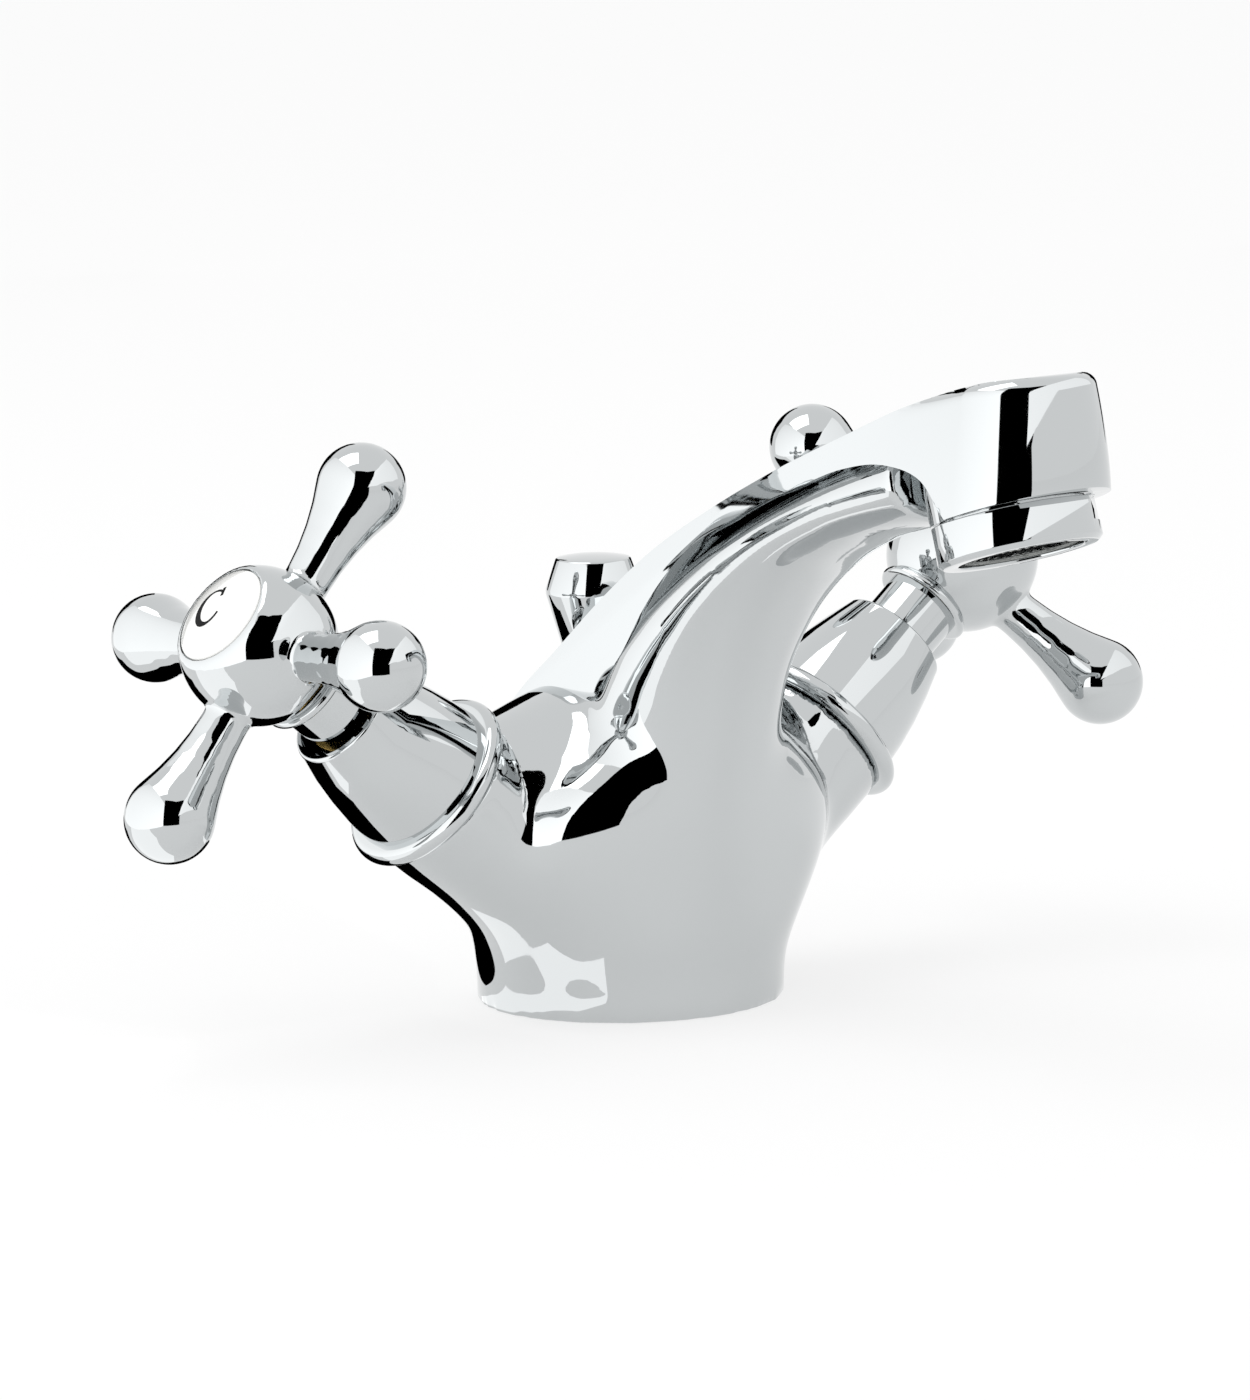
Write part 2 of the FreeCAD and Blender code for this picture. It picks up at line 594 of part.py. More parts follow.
def aerator():
    ledge_top = "-(collar_length - collar_ledge)"
    collar = turned("aerator_collar", [
        ("collar_opening", "-collar_length"), ("collar_radius - collar_bevel", "-collar_length"),
        ("collar_radius", "-(collar_length - collar_bevel)"), ("collar_radius", "-body_gap"),
        ("nozzle_radius + fit_clearance", "-body_gap"), ("nozzle_radius + fit_clearance", ledge_top),
        ("collar_opening", ledge_top),
    ])
    flat_at = "nozzle_radius + fit_clearance + flat_wall"
    beyond = "2 * collar_radius"
    for sign in ("", "-"):
        near, far = sign + "(%s)" % flat_at, sign + "(%s)" % beyond
        flat = [(near, "-collar_radius"), (far, "-collar_radius"), (far, "collar_radius"), (near, "collar_radius")]
        pocket(collar, flat, "-body_gap", "flat_height")
    washer_low = "-(nozzle_length + washer_thick)"
    washer = turned("aerator_washer", ring("nozzle_bore", "nozzle_radius", washer_low, "-nozzle_length"))
    insert = turned("aerator_insert", [
        ("nozzle_bore - 2 * collar_ledge", "-nozzle_length"),
        ("nozzle_bore - 2 * fit_clearance", "-nozzle_length"),
        ("nozzle_bore - 2 * fit_clearance", "insert_depth - nozzle_length"),
        ("0", "insert_depth - nozzle_length"), ("0", "insert_depth - nozzle_length - collar_ledge"),
        ("nozzle_bore - 2 * collar_ledge", "insert_depth - nozzle_length - collar_ledge"),
    ])
    for sign in ("", "-"):
        for across, back in ((sign + "nozzle_bore / 2", "0"), ("0", sign + "nozzle_bore / 2")):
            round_hole(insert, across, back, "port_radius", "insert_depth - nozzle_length", "collar_ledge",
                       upward=False)
    mesh = turned("aerator_mesh", [
        ("0", washer_low + " - mesh_thick"), ("nozzle_radius - fit_clearance", washer_low + " - mesh_thick"),
        ("nozzle_radius - fit_clearance", washer_low), ("0", washer_low),
    ])
    round_hole(mesh, "0", "0", "mesh_hole_radius", washer_low, "mesh_thick", upward=False)
    between_rows = ("3 * mesh_pitch / 2", "sqrt(3) * mesh_pitch / 2")
    for across, back in (("mesh_pitch", "0"), ("2 * mesh_pitch", "0"), between_rows):
        round_hole(mesh, across, back, "mesh_hole_radius", washer_low, "mesh_thick", upward=False)
        repeat_about_axis(mesh, mesh.Tip, 6)
    place_under_head(collar, "flat_phase")
    for piece in (washer, insert, mesh):
        place_under_head(piece)


# Pop-up knob: a turned knob on a rod that lifts in a plastic bush, with a seal below the bush


def pop_up():
    dome_radius = "(knob_top_radius ^ 2 + knob_dome ^ 2) / (2 * knob_dome)"
    knob = turned("lift_knob", [
        ("rod_radius + fit_clearance", "knob_foot_height"), ("knob_foot_radius", "knob_foot_height"),
        ("knob_wide_radius", "knob_wide_height - knob_ring"), ("knob_wide_radius", "knob_wide_height"),
        ("knob_top_radius", "knob_top_height - knob_dome", dome_radius), ("0", "knob_top_height"),
        ("0", "knob_wide_height - knob_ring"), ("rod_radius + fit_clearance", "knob_wide_height - knob_ring"),
    ])
    rod = turned("lift_rod", [
        ("0", "rod_foot_height"), ("rod_radius", "rod_foot_height"),
        ("rod_radius", "knob_wide_height - knob_ring"), ("0", "knob_wide_height - knob_ring"),
    ])
    bush_low = "bush_top_height - bush_length"
    bush = turned("rod_bush", ring("rod_radius + fit_clearance", "bush_radius", bush_low, "bush_top_height"))
    seal = o_ring("rod_seal", "rod_radius + seal_cord_radius + fit_clearance", "seal_cord_radius")
    place(seal, "0", "rod_back", bush_low + " - seal_cord_radius - fit_clearance", [("Z", "0")])
    for piece in (knob, rod, bush):
        place(piece, "0", "rod_back", "0", [("Z", "0")])


# Body casting: one hollow brass casting. Two arms swell out of the foot and meet in a saddle, a round neck
# leans forward out of it, and a wider hood runs over the neck from the back of the foot to the nose.

# Sections of the neck: forward as a share of the reach, up as a share of the outlet's height, lean in
# degrees, then half the width and half the depth as shares of the hood's half width.
NECK_SHARES = [
    (0.070, 0.255, 3, 1.565, 1.580), (0.156, 0.506, 6, 1.183, 1.183), (0.222, 0.648, 27, 1.069, 0.947),
    (0.344, 0.786, 46, 0.992, 0.641), (0.484, 0.890, 61, 0.947, 0.489), (0.642, 0.972, 73, 0.916, 0.466),
    (0.856, 1.048, 78, 0.901, 0.534),
]
# The hood seen from the side: forward as a share of the reach, up as a share of the outlet's height.
HOOD_TOP_SHARES = [
    (-0.246, 0.159), (-0.245, 0.273), (-0.231, 0.362), (-0.191, 0.456), (-0.126, 0.541), (0.005, 0.656),
    (0.135, 0.767), (0.270, 0.867), (0.431, 0.961), (0.588, 1.041), (0.746, 1.114), (0.919, 1.185),
    (1.029, 1.223), (1.114, 1.241), (1.193, 1.251),
]
HOOD_EDGE_SHARES = [
    (0.944, 1.059), (0.848, 1.077), (0.748, 1.059), (0.652, 1.021), (0.546, 0.977), (0.458, 0.933),
    (0.375, 0.887), (0.311, 0.835), (0.242, 0.759), (0.180, 0.671), (0.104, 0.583), (0.040, 0.478),
]
# The saddle across the arms: sideways and up as shares of the arm's end, half height, half depth.
SADDLE_SHARES = [
    (0.57, 0.66, 0.315, 0.262), (0.42, 0.65, 0.372, 0.285), (0.27, 0.64, 0.430, 0.310), (0.00, 0.62, 0.470, 0.330),
]
# The mixed water's way to the outlet: forward as a share of the reach, up as a share of the outlet's height.
WATERWAY_SHARES = [(0.090, 0.410), (0.184, 0.587), (0.328, 0.797), (0.547, 0.934), (0.965, 1.056)]


def oval(x, y, z, half_width, half_depth, axis, angle):
    """A closed oval round a point, level until it is turned about a line through that point."""
    curve = Part.Ellipse(Vector(), max(half_width, half_depth), min(half_width, half_depth))
    shape = curve.toShape()
    if half_width < half_depth:
        shape.rotate(Vector(), Vector(0, 0, 1), 90)
    shape.rotate(Vector(), axis, angle)
    shape.translate(Vector(x, y, z))
    return Part.Wire([shape])


def on_arm(along, side):
    """A point of an arm's axis."""
    return Vector(0, 0, size("arm_start_height")) + direction(size("arm_angle"), side) * along


def arm_form(side):
    """Half of the foot, swelling into one arm."""
    foot = size("base_radius")
    across = Vector(0, 1, 0)
    sections = [
        oval(0, 0, 0, foot, foot, across, 0),
        oval(0, 0, size("base_straight_height"), foot, foot, across, 0),
        oval(side * size("shoulder_out"), 0, size("shoulder_height"),
             size("shoulder_radius"), size("shoulder_radius"), across, side * size("shoulder_tilt")),
    ]
    for along, radius in (("arm_swell_along", "arm_swell_radius"),
                          ("arm_end_along - 2 * shroud_bead_radius", "arm_radius"),
                          ("arm_end_along", "arm_radius")):
        point = on_arm(size(along), side)
        sections.append(oval(point.x, point.y, point.z, size(radius), size(radius), across,
                             side * (90 - size("arm_angle"))))
    form = Part.makeLoft(sections, True, False)
    big = 4 * size("spout_reach")
    half = Part.makeBox(big, 2 * big, 2 * big, Vector(0 if side > 0 else -big, -big, -big))
    return form.common(half)


def saddle_form():
    """The web that fills the fork between the arms."""
    end = size("arm_end_along")
    left = [(-out, up, high, deep) for out, up, high, deep in SADDLE_SHARES[:-1]]
    right = [(out, up, high, deep) for out, up, high, deep in reversed(SADDLE_SHARES)]
    sections = [oval(out * end, 0, up * end, high * end, deep * end, Vector(0, 1, 0), 90)
                for out, up, high, deep in left + right]
    return Part.makeLoft(sections, True, False)


def neck_form():
    """The round neck, from inside the foot to inside the head."""
    reach, high, half = size("spout_reach"), size("outlet_height"), size("hood_half_width")
    inside = size("base_radius - body_gap")
    across = Vector(1, 0, 0)
    sections = [oval(0, 0, 0, inside, inside, across, 0),
                oval(0, 0, size("base_straight_height"), inside, inside, across, 0)]
    for forward, up, lean, width, depth in NECK_SHARES:
        sections.append(oval(0, -forward * reach, up * high, width * half, depth * half, across, lean))
    return Part.makeLoft(sections, True, False)


def head_axis():
    """The outlet's centre and its axis, up into the head."""
    tilt = math.radians(size("outlet_tilt"))
    return Vector(0, -size("spout_reach"), size("outlet_height")), Vector(0, math.sin(tilt), math.cos(tilt))


def spline(points):
    curve = Part.BSplineCurve()
    curve.interpolate(points)
    return curve.toShape()


def side_view(shares):
    """Points in the middle plane."""
    return [Vector(0, -forward * size("spout_reach"), up * size("outlet_height")) for forward, up in shares]


def hood_form():
    """A slab with the hood's side outline, rounded in plan at the nose and at the back."""
    half = size("hood_half_width")
    outlet, up = head_axis()
    level = Vector(0, -up.z, up.y)
    low = size("base_straight_height")
    top = side_view(HOOD_TOP_SHARES)
    edge = side_view(HOOD_EDGE_SHARES)
    back_foot = Vector(0, top[0].y, low)
    front_foot = Vector(0, edge[-1].y, low)
    nose_foot = outlet + level * ((top[-1].y - outlet.y) / level.y)
    outline = Part.Wire([
        Part.makeLine(back_foot, top[0]), spline(top), Part.makeLine(top[-1], nose_foot),
        Part.makeLine(nose_foot, outlet), spline([outlet] + edge), Part.makeLine(edge[-1], front_foot),
        Part.makeLine(front_foot, back_foot)])
    slab = Part.Face(outline)
    slab.translate(Vector(-half, 0, 0))
    slab = slab.extrude(Vector(2 * half, 0, 0))
    nose = Vector(0, outlet.y - size("nose_forward"), 0)
    back = Vector(0, size("base_radius") - half, 0)
    tall = 2 * size("outlet_height")
    plan = Part.makeBox(2 * half, back.y - nose.y, tall, Vector(-half, nose.y, 0))
    plan = plan.fuse(Part.makeCylinder(half, tall, nose)).fuse(Part.makeCylinder(half, tall, back))
    hood = slab.common(plan.removeSplitter())
    crown = max(hood.Faces, key=lambda face: face.Area if face.CenterOfMass.y > outlet.y else 0)
    return hood.makeFillet(size("hood_edge"), crown.Edges)


def rod_between(start, end, radius):
    """A straight round bore from one point to another."""
    along = end - start
    return Part.makeCylinder(radius, along.Length, start, along)


def water_passages():
    """Bores of the casting that carry water, one list for all."""
    outlet, up = head_axis()
    bores = [Part.makeCylinder(size("nozzle_bore"), size("nozzle_length + insert_depth"),
                               outlet - up * size("nozzle_length"), up)]
    way = side_view(WATERWAY_SHARES)
    for start, end in zip(way, way[1:]):
        bores.append(rod_between(start, end, size("waterway_radius")))
        bores.append(Part.makeSphere(size("waterway_radius"), start))
    for side in (1, -1):
        axis = direction(size("arm_angle"), side)
        inlet = Vector(side * size("inlet_side"), -size("inlet_front"), size("cavity_height"))
        inlet_top = inlet + Vector(0, 0, size("inlet_depth"))
        bores.append(rod_between(inlet, inlet_top, size("inlet_radius")))
        bores.append(rod_between(inlet_top - Vector(0, 0, size("feed_radius")),
                                 on_arm(size("seat_along + body_gap"), side), size("feed_radius")))
        bores.append(rod_between(on_arm(size("seat_along"), side), on_arm(size("arm_end_along + body_gap"), side),
                                 size("chamber_radius")))
        bores.append(rod_between(on_arm(size("chamber_thread_along"), side),
                                 on_arm(size("arm_end_along + body_gap"), side),
                                 size("valve_thread_radius + fit_clearance")))
        bores.append(rod_between(on_arm(size("outlet_port_along"), side), way[0], size("feed_radius")))
    return bores


def body_casting():
    outlet, up = head_axis()
    low = size("cavity_height")
    boss = Part.makeCylinder(size("collar_radius - fit_clearance"), size("collar_radius"), outlet, up)
    nozzle = Part.makeCylinder(size("nozzle_radius"), size("nozzle_length + fit_clearance"),
                               outlet - up * size("nozzle_length"), up)
    metal = arm_form(-1).fuse(arm_form(1)).fuse(saddle_form()).fuse(neck_form()).fuse(hood_form())
    metal = metal.fuse(boss).fuse(nozzle)
    edge, foot, wide = size("base_edge"), size("base_radius"), size("spout_reach")
    corner = Vector(foot - edge, 0, edge) + direction(-45, 1) * edge
    envelope = Part.Face(Part.Wire([
        Part.makeLine(Vector(), Vector(foot - edge, 0, 0)),
        Part.Arc(Vector(foot - edge, 0, 0), corner, Vector(foot, 0, edge)).toShape(),
        Part.makeLine(Vector(foot, 0, edge), Vector(2 * wide, 0, edge)),
        Part.makeLine(Vector(2 * wide, 0, edge), Vector(2 * wide, 0, 2 * wide)),
        Part.makeLine(Vector(2 * wide, 0, 2 * wide), Vector(0, 0, 2 * wide)),
        Part.makeLine(Vector(0, 0, 2 * wide), Vector()),
    ])).revolve(Vector(), Vector(0, 0, 1), 360)
    metal = metal.common(envelope)
    rod = Vector(0, size("rod_back"), 0)
    seal_room = size("bush_top_height - bush_length - 2 * seal_cord_radius - 2 * fit_clearance")
    groove = Part.makeCylinder(size("gasket_mean_radius + gasket_cord_radius + fit_clearance"),
                               size("2 * gasket_cord_radius + fit_clearance"))
    groove = groove.cut(Part.makeCylinder(size("gasket_mean_radius - gasket_cord_radius - fit_clearance"),
                                          size("spout_reach")))
    tools = water_passages() + [
        Part.makeCylinder(size("cavity_radius"), low),
        groove,
        Part.makeCylinder(size("stud_radius"), low + size("stud_depth"), Vector(0, -size("stud_front"), 0)),
        Part.makeCylinder(size("rod_radius + body_gap"), size("spout_reach"), rod),
        Part.makeCylinder(size("bush_radius + fit_clearance"), size("spout_reach"), rod + Vector(0, 0, seal_room)),
        Part.makeCylinder(size("well_radius"), size("spout_reach"), rod + Vector(0, 0, size("well_height"))),
    ]
    return metal.cut(tools[0].multiFuse(tools[1:]))


casting = document.addObject("Part::Feature", "body_casting")
casting.Label = "body_casting"
casting.Shape = body_casting()
casting.Placement = Placement()
parts.append(casting)

aerator()
pop_up()
gasket = o_ring("base_gasket", "gasket_mean_radius", "gasket_cord_radius")
place(gasket, "0", "0", "gasket_cord_radius", [("Z", "0")])
for tap, side, phase in (("cold", -1, "cold_phase"), ("hot", 1, "hot_phase")):
    shroud(tap + "_shroud", side)
    headwork(tap + "_headwork", side)
    headwork_seal(tap + "_headwork_seal", side)
    seat_seal(tap + "_seat_seal", side)
    ceramic_disc(tap + "_fixed_disc", side, moving=False)
    ceramic_disc(tap + "_moving_disc", side, moving=True)
    spindle(tap + "_spindle", side)
    spindle_seal(tap + "_spindle_seal", side)
    retaining_clip(tap + "_retaining_clip", side)
    cross_handle(tap + "_cross_handle", side, phase)
    handle_screw(tap + "_handle_screw", side)
    index_cap(tap + "_index_cap", side)

document.recompute()
for thing in document.Objects:
    if "Invalid" in thing.State or "Error" in thing.State:
        raise RuntimeError("%s failed: %s" % (thing.Label, thing.State))
os.makedirs("parts", exist_ok=True)
for part in parts:
    shape = part.Shape
    if shape.isNull() or not shape.isValid() or not shape.Solids:
        raise RuntimeError(part.Label + " has no sound solid")
    shape.exportStep("parts/%s.step" % part.Label)
    print("%-22s solids %d volume %.1f" % (part.Label, len(shape.Solids), shape.Volume))
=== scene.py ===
import bmesh
import bpy
import json
import math
import numpy as np
from mathutils import Matrix, Vector


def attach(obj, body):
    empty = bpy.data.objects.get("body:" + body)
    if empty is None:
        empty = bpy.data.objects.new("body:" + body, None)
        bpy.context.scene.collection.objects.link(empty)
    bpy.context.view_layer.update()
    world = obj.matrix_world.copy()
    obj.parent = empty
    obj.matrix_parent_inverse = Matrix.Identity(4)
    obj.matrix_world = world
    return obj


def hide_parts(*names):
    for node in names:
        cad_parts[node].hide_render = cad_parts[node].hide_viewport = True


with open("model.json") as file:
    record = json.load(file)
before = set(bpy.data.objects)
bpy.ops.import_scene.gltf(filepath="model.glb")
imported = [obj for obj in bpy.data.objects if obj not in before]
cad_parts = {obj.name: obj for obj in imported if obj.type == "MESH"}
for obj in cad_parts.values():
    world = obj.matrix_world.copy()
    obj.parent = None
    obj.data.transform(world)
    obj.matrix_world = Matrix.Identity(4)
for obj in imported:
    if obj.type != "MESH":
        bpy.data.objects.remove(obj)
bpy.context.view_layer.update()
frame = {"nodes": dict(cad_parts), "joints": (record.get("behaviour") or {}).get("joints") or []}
mm = 0.001

# Cast body
# One hollow brass casting, polished and chrome plated. The foot swells into two slanted arms, a web fills
# the fork between them, and a round neck carries a wider hood that runs from the foot's back to the nose.


def linear(code):
    """An sRGB hex colour as linear red, green, blue and alpha."""
    parts = [int(code[place:place + 2], 16) / 255 for place in (1, 3, 5)]
    return [part / 12.92 if part <= 0.04045 else ((part + 0.055) / 1.055) ** 2.4 for part in parts] + [1.0]


def add(tree, kind, inputs=None, **settings):
    """Adds one node to a material: its settings, and its inputs as values or as links from other nodes."""
    node = tree.nodes.new(kind)
    for name, value in settings.items():
        setattr(node, name, value)
    for name, value in (inputs or {}).items():
        if isinstance(value, bpy.types.NodeSocket):
            tree.links.new(value, node.inputs[name])
        else:
            node.inputs[name].default_value = value
    return node


def surface(name, inputs):
    """A new material with one Principled surface, whose inputs are set on its own sockets."""
    material = bpy.data.materials.new(name)
    material.use_nodes = True
    shader = material.node_tree.nodes["Principled BSDF"]
    for socket, value in inputs.items():
        shader.inputs[socket].default_value = value
    return material, material.node_tree, shader


# Chrome plate: mirror bright, with a cool tone. Polishing leaves the casting very slightly wavy, and fingers
# and dried water leave faint smears that dull it here and there.
smear_size = 9 * mm
wave_size = 14 * mm
wave_height = 0.02 * mm
chrome, tree, shader = surface("chrome_plate", {"Base Color": linear("#C6C9CA"), "Metallic": 1.0})
place = add(tree, "ShaderNodeTexCoord")
smears = add(tree, "ShaderNodeTexNoise", {"Vector": place.outputs["Object"], "Scale": 1 / smear_size,
                                          "Detail": 3.0})
gloss = add(tree, "ShaderNodeMapRange", {"Value": smears.outputs["Fac"], "From Min": 0.45, "From Max": 0.8,
                                         "To Min": 0.015, "To Max": 0.06})
waves = add(tree, "ShaderNodeTexNoise", {"Vector": place.outputs["Object"], "Scale": 1 / wave_size,
                                         "Detail": 1.0})
relief = add(tree, "ShaderNodeBump", {"Height": waves.outputs["Fac"], "Strength": 0.35,
                                      "Distance": wave_height})
tree.links.new(gloss.outputs["Result"], shader.inputs["Roughness"])
tree.links.new(relief.outputs["Normal"], shader.inputs["Normal"])


def shade(data, angle):
    """Shades a mesh smooth, except at edges sharper than so many degrees."""
    data.shade_smooth()
    data.set_sharp_from_angle(angle=math.radians(angle))


def piece_of(name, mesh, material):
    """A new object from a bmesh, which is used up."""
    data = bpy.data.meshes.new(name)
    mesh.to_mesh(data)
    mesh.free()
    data.materials.append(material)
    shade(data, 35)
    piece = bpy.data.objects.new(name, data)
    bpy.context.scene.collection.objects.link(piece)
    return piece


def applied(piece, kind, **settings):
    """Puts one modifier on a piece and keeps its result as the piece's own mesh."""
    modifier = piece.modifiers.new(kind.lower(), kind)
    for name, value in settings.items():
        setattr(modifier, name, value)
    shown = piece.evaluated_get(bpy.context.evaluated_depsgraph_get())
    result = bpy.data.meshes.new_from_object(shown)
    piece.modifiers.clear()
    old = piece.data
    piece.data = result
    bpy.data.meshes.remove(old)


def carve(piece, tool, operation="DIFFERENCE"):
    """Cuts one closed piece with another, which is used up."""
    applied(piece, "BOOLEAN", object=tool, operation=operation, solver="MANIFOLD")
    bpy.data.objects.remove(tool)


def curve_through(rows, count):
    """So many rows of numbers, evenly spaced on a smooth curve through the given rows."""
    rows = np.array(rows, float)
    gaps = np.linalg.norm(np.diff(rows[:, :2], axis=0), axis=1)
    place = np.concatenate([[0.0], np.cumsum(gaps)])
    slope = np.gradient(rows, place, axis=0)
    result = []
    for at in np.linspace(0, place[-1], count):
        k = min(int(np.searchsorted(place, at, "right")) - 1, len(gaps) - 1)
        u = (at - place[k]) / gaps[k]
        ends = (2 * u ** 3 - 3 * u ** 2 + 1) * rows[k] + (3 * u ** 2 - 2 * u ** 3) * rows[k + 1]
        bends = (u ** 3 - 2 * u ** 2 + u) * slope[k] + (u ** 3 - u ** 2) * slope[k + 1]
        result.append([float(number) for number in ends + gaps[k] * bends])
    return result


def loft(sections):
    """A closed tube through round sections, each given by the matrix that places a circle of radius one."""
    mesh = bmesh.new()
    bmesh.ops.create_circle(mesh, cap_ends=True, radius=1, segments=96, matrix=sections[0])
    rim = mesh.edges[:]
    for before, after in zip(sections, sections[1:]):
        made = bmesh.ops.extrude_edge_only(mesh, edges=rim)["geom"]
        points = {part for part in made if isinstance(part, bmesh.types.BMVert)}
        bmesh.ops.transform(mesh, matrix=after @ before.inverted(), verts=list(points))
        rim = [part for part in made
               if isinstance(part, bmesh.types.BMEdge) and points.issuperset(part.verts)]
    bmesh.ops.contextual_create(mesh, geom=rim)
    bmesh.ops.recalc_face_normals(mesh, faces=mesh.faces)
    return mesh


def section(x, y, z, half_width, half_depth, axis, angle):
    """The matrix of an oval section, turned about one axis through its centre."""
    turn = Matrix.Rotation(math.radians(angle), 4, axis)
    return Matrix.Translation((x, y, z)) @ turn @ Matrix.Diagonal((half_width, half_depth, half_width, 1))


def scaled(corners):
    """Corners given in millimetres as metres."""
    return [tuple(number * mm for number in corner) for corner in corners]


def outline(corners, step=math.radians(5)):
    """Points of a profile. A corner's third number is the radius of the arc to the next corner, which bulges
    to the right of the way there, or to the left with a minus sign."""
    points = []
    for corner, after in zip(corners, corners[1:] + corners[:1]):
        start, end = Vector(corner[:2]), Vector(after[:2])
        points.append(start)
        if len(corner) < 3:
            continue
        radius = abs(corner[2])
        chord = end - start
        side = math.copysign(1, corner[2])
        half = math.asin(min(1, chord.length / 2 / radius))
        inward = Vector((-chord.y, chord.x)).normalized() * side
        centre = (start + end) / 2 + inward * radius * math.cos(half)
        count = max(2, math.ceil(2 * half / step))
        for k in range(1, count):
            arm = start - centre
            arm.rotate(Matrix.Rotation(side * 2 * half * k / count, 2))
            points.append(centre + arm)
    return points


def turned(corners, matrix=Matrix(), steps=128, soft=0.0):
    """A closed profile turned about the Z axis and then put in its place, its sharp rims made soft. The edge
    that lies on the axis is left out."""
    on_axis = 0.01 * mm
    too_close = 0.005 * mm
    sharp_angle = 0.5
    mesh = bmesh.new()
    points = [mesh.verts.new((point.x, 0, point.y)) for point in outline(corners)]
    edges = [mesh.edges.new(pair) for pair in zip(points, points[1:] + points[:1])
             if max(pair[0].co.x, pair[1].co.x) > on_axis]
    bmesh.ops.spin(mesh, geom=points + edges, axis=(0, 0, 1), angle=2 * math.pi, steps=steps, use_merge=True)
    bmesh.ops.remove_doubles(mesh, verts=mesh.verts, dist=too_close)
    bmesh.ops.recalc_face_normals(mesh, faces=mesh.faces)
    if soft:
        sharp = [edge for edge in mesh.edges
                 if len(edge.link_faces) == 2 and edge.calc_face_angle() > sharp_angle]
        bmesh.ops.bevel(mesh, geom=sharp, offset=soft, segments=3, profile=0.5, affect="EDGES", material=-1)
    bmesh.ops.transform(mesh, matrix=matrix, verts=mesh.verts)
    return mesh


def plate(points, way):
    """A closed plate: a flat outline, grown along a vector."""
    mesh = bmesh.new()
    face = mesh.faces.new([mesh.verts.new(point) for point in points])
    grown = bmesh.ops.extrude_face_region(mesh, geom=[face])["geom"]
    far_side = [part for part in grown if isinstance(part, bmesh.types.BMVert)]
    bmesh.ops.translate(mesh, vec=way, verts=far_side)
    bmesh.ops.recalc_face_normals(mesh, faces=mesh.faces)
    return mesh


def joined(meshes):
    """Several bmeshes as one, their shells kept apart."""
    whole = bmesh.new()
    for mesh in meshes:
        data = bpy.data.meshes.new("shell")
        mesh.to_mesh(data)
        mesh.free()
        whole.from_mesh(data)
        bpy.data.meshes.remove(data)
    return whole


foot_radius = 24.7 * mm
arm_turn = {joint["name"]: joint for joint in frame["joints"]}
arm_axis = {"cold": Vector(arm_turn["cold_turn"]["axis"]), "hot": Vector(arm_turn["hot_turn"]["axis"])}
arm_start = Vector(arm_turn["cold_turn"]["pos_m"])
arm_lean = math.degrees(math.acos(arm_axis["hot"].z))


def on_arm(tap, along):
    """The matrix that lays a piece's Z axis on an arm's axis, so far from where the two arm axes meet."""
    turn = Vector((0, 0, 1)).rotation_difference(arm_axis[tap]).to_matrix().to_4x4()
    return Matrix.Translation(arm_start + arm_axis[tap] * along) @ turn


# Half of the foot swelling into an arm: sideways, up, half width, half depth and lean of oval sections.
arm_end = 48.2 * mm
arm_radius = 13.3 * mm
foot_rim = 3 * mm
straight_end = 3.2 * mm
half_overlap = 0.5 * mm
arm_rows = [(0, 0, foot_radius, foot_radius, 0), (0, foot_rim, foot_radius, foot_radius, 0),
            (5.5 * mm, 19 * mm, 22.2 * mm, 22.4 * mm, 22)]
for along, high, deep in ((32 * mm, 13.1 * mm, 14.8 * mm), (arm_end - straight_end, arm_radius, arm_radius),
                          (arm_end, arm_radius, arm_radius)):
    centre = arm_start + arm_axis["hot"] * along
    arm_rows.append((centre.x, centre.z, high, deep, arm_lean))
forms = []
for side in (1, -1):
    mesh = loft([section(side * x, 0, z, high, deep, "Y", side * lean)
                 for x, z, high, deep, lean in curve_through(arm_rows, count=60)])
    bmesh.ops.bisect_plane(mesh, geom=mesh.verts[:] + mesh.edges[:] + mesh.faces[:], clear_outer=True,
                           plane_co=(-side * half_overlap, 0, 0), plane_no=(-side, 0, 0))
    bmesh.ops.holes_fill(mesh, edges=mesh.edges, sides=0)
    forms.append(mesh)

# The web in the fork: sideways, up, half height and half depth as shares of the arm's length.
web_shares = [(0.57, 0.66, 0.315, 0.285), (0.42, 0.65, 0.372, 0.360), (0.27, 0.64, 0.430, 0.410),
              (0.00, 0.62, 0.470, 0.430)]
web_rows = [(-x, z, high, deep) for x, z, high, deep in web_shares[:-1]] + list(reversed(web_shares))
forms.append(loft([section(x * arm_end, 0, z * arm_end, high * arm_end, deep * arm_end, "Y", 90)
                   for x, z, high, deep in curve_through(web_rows, count=40)]))

# The neck, and the skirt that blends it into both arms: forward and up as shares of the outlet's place, half
# width and half depth as shares of half the hood's width, and lean in degrees.
reach = 100.55 * mm
outlet_height = 87.8 * mm
half_hood = 13.1 * mm
inside = foot_radius - 0.3 * mm
straight_foot = 5 * mm
neck_shares = [(0.070, 0.255, 1.565, 1.580, 3), (0.156, 0.506, 1.183, 1.183, 6),
               (0.222, 0.648, 1.069, 0.947, 27), (0.344, 0.786, 0.992, 0.641, 46),
               (0.484, 0.890, 0.947, 0.489, 61), (0.642, 0.972, 0.916, 0.466, 73),
               (0.856, 1.048, 0.901, 0.534, 78)]
skirt_shares = [(0.030, 0.150, 2.050, 1.780, 1), (0.070, 0.270, 2.350, 1.520, 3),
                (0.115, 0.395, 2.150, 1.280, 5), (0.150, 0.500, 1.400, 1.050, 7),
                (0.180, 0.600, 0.800, 0.700, 15)]
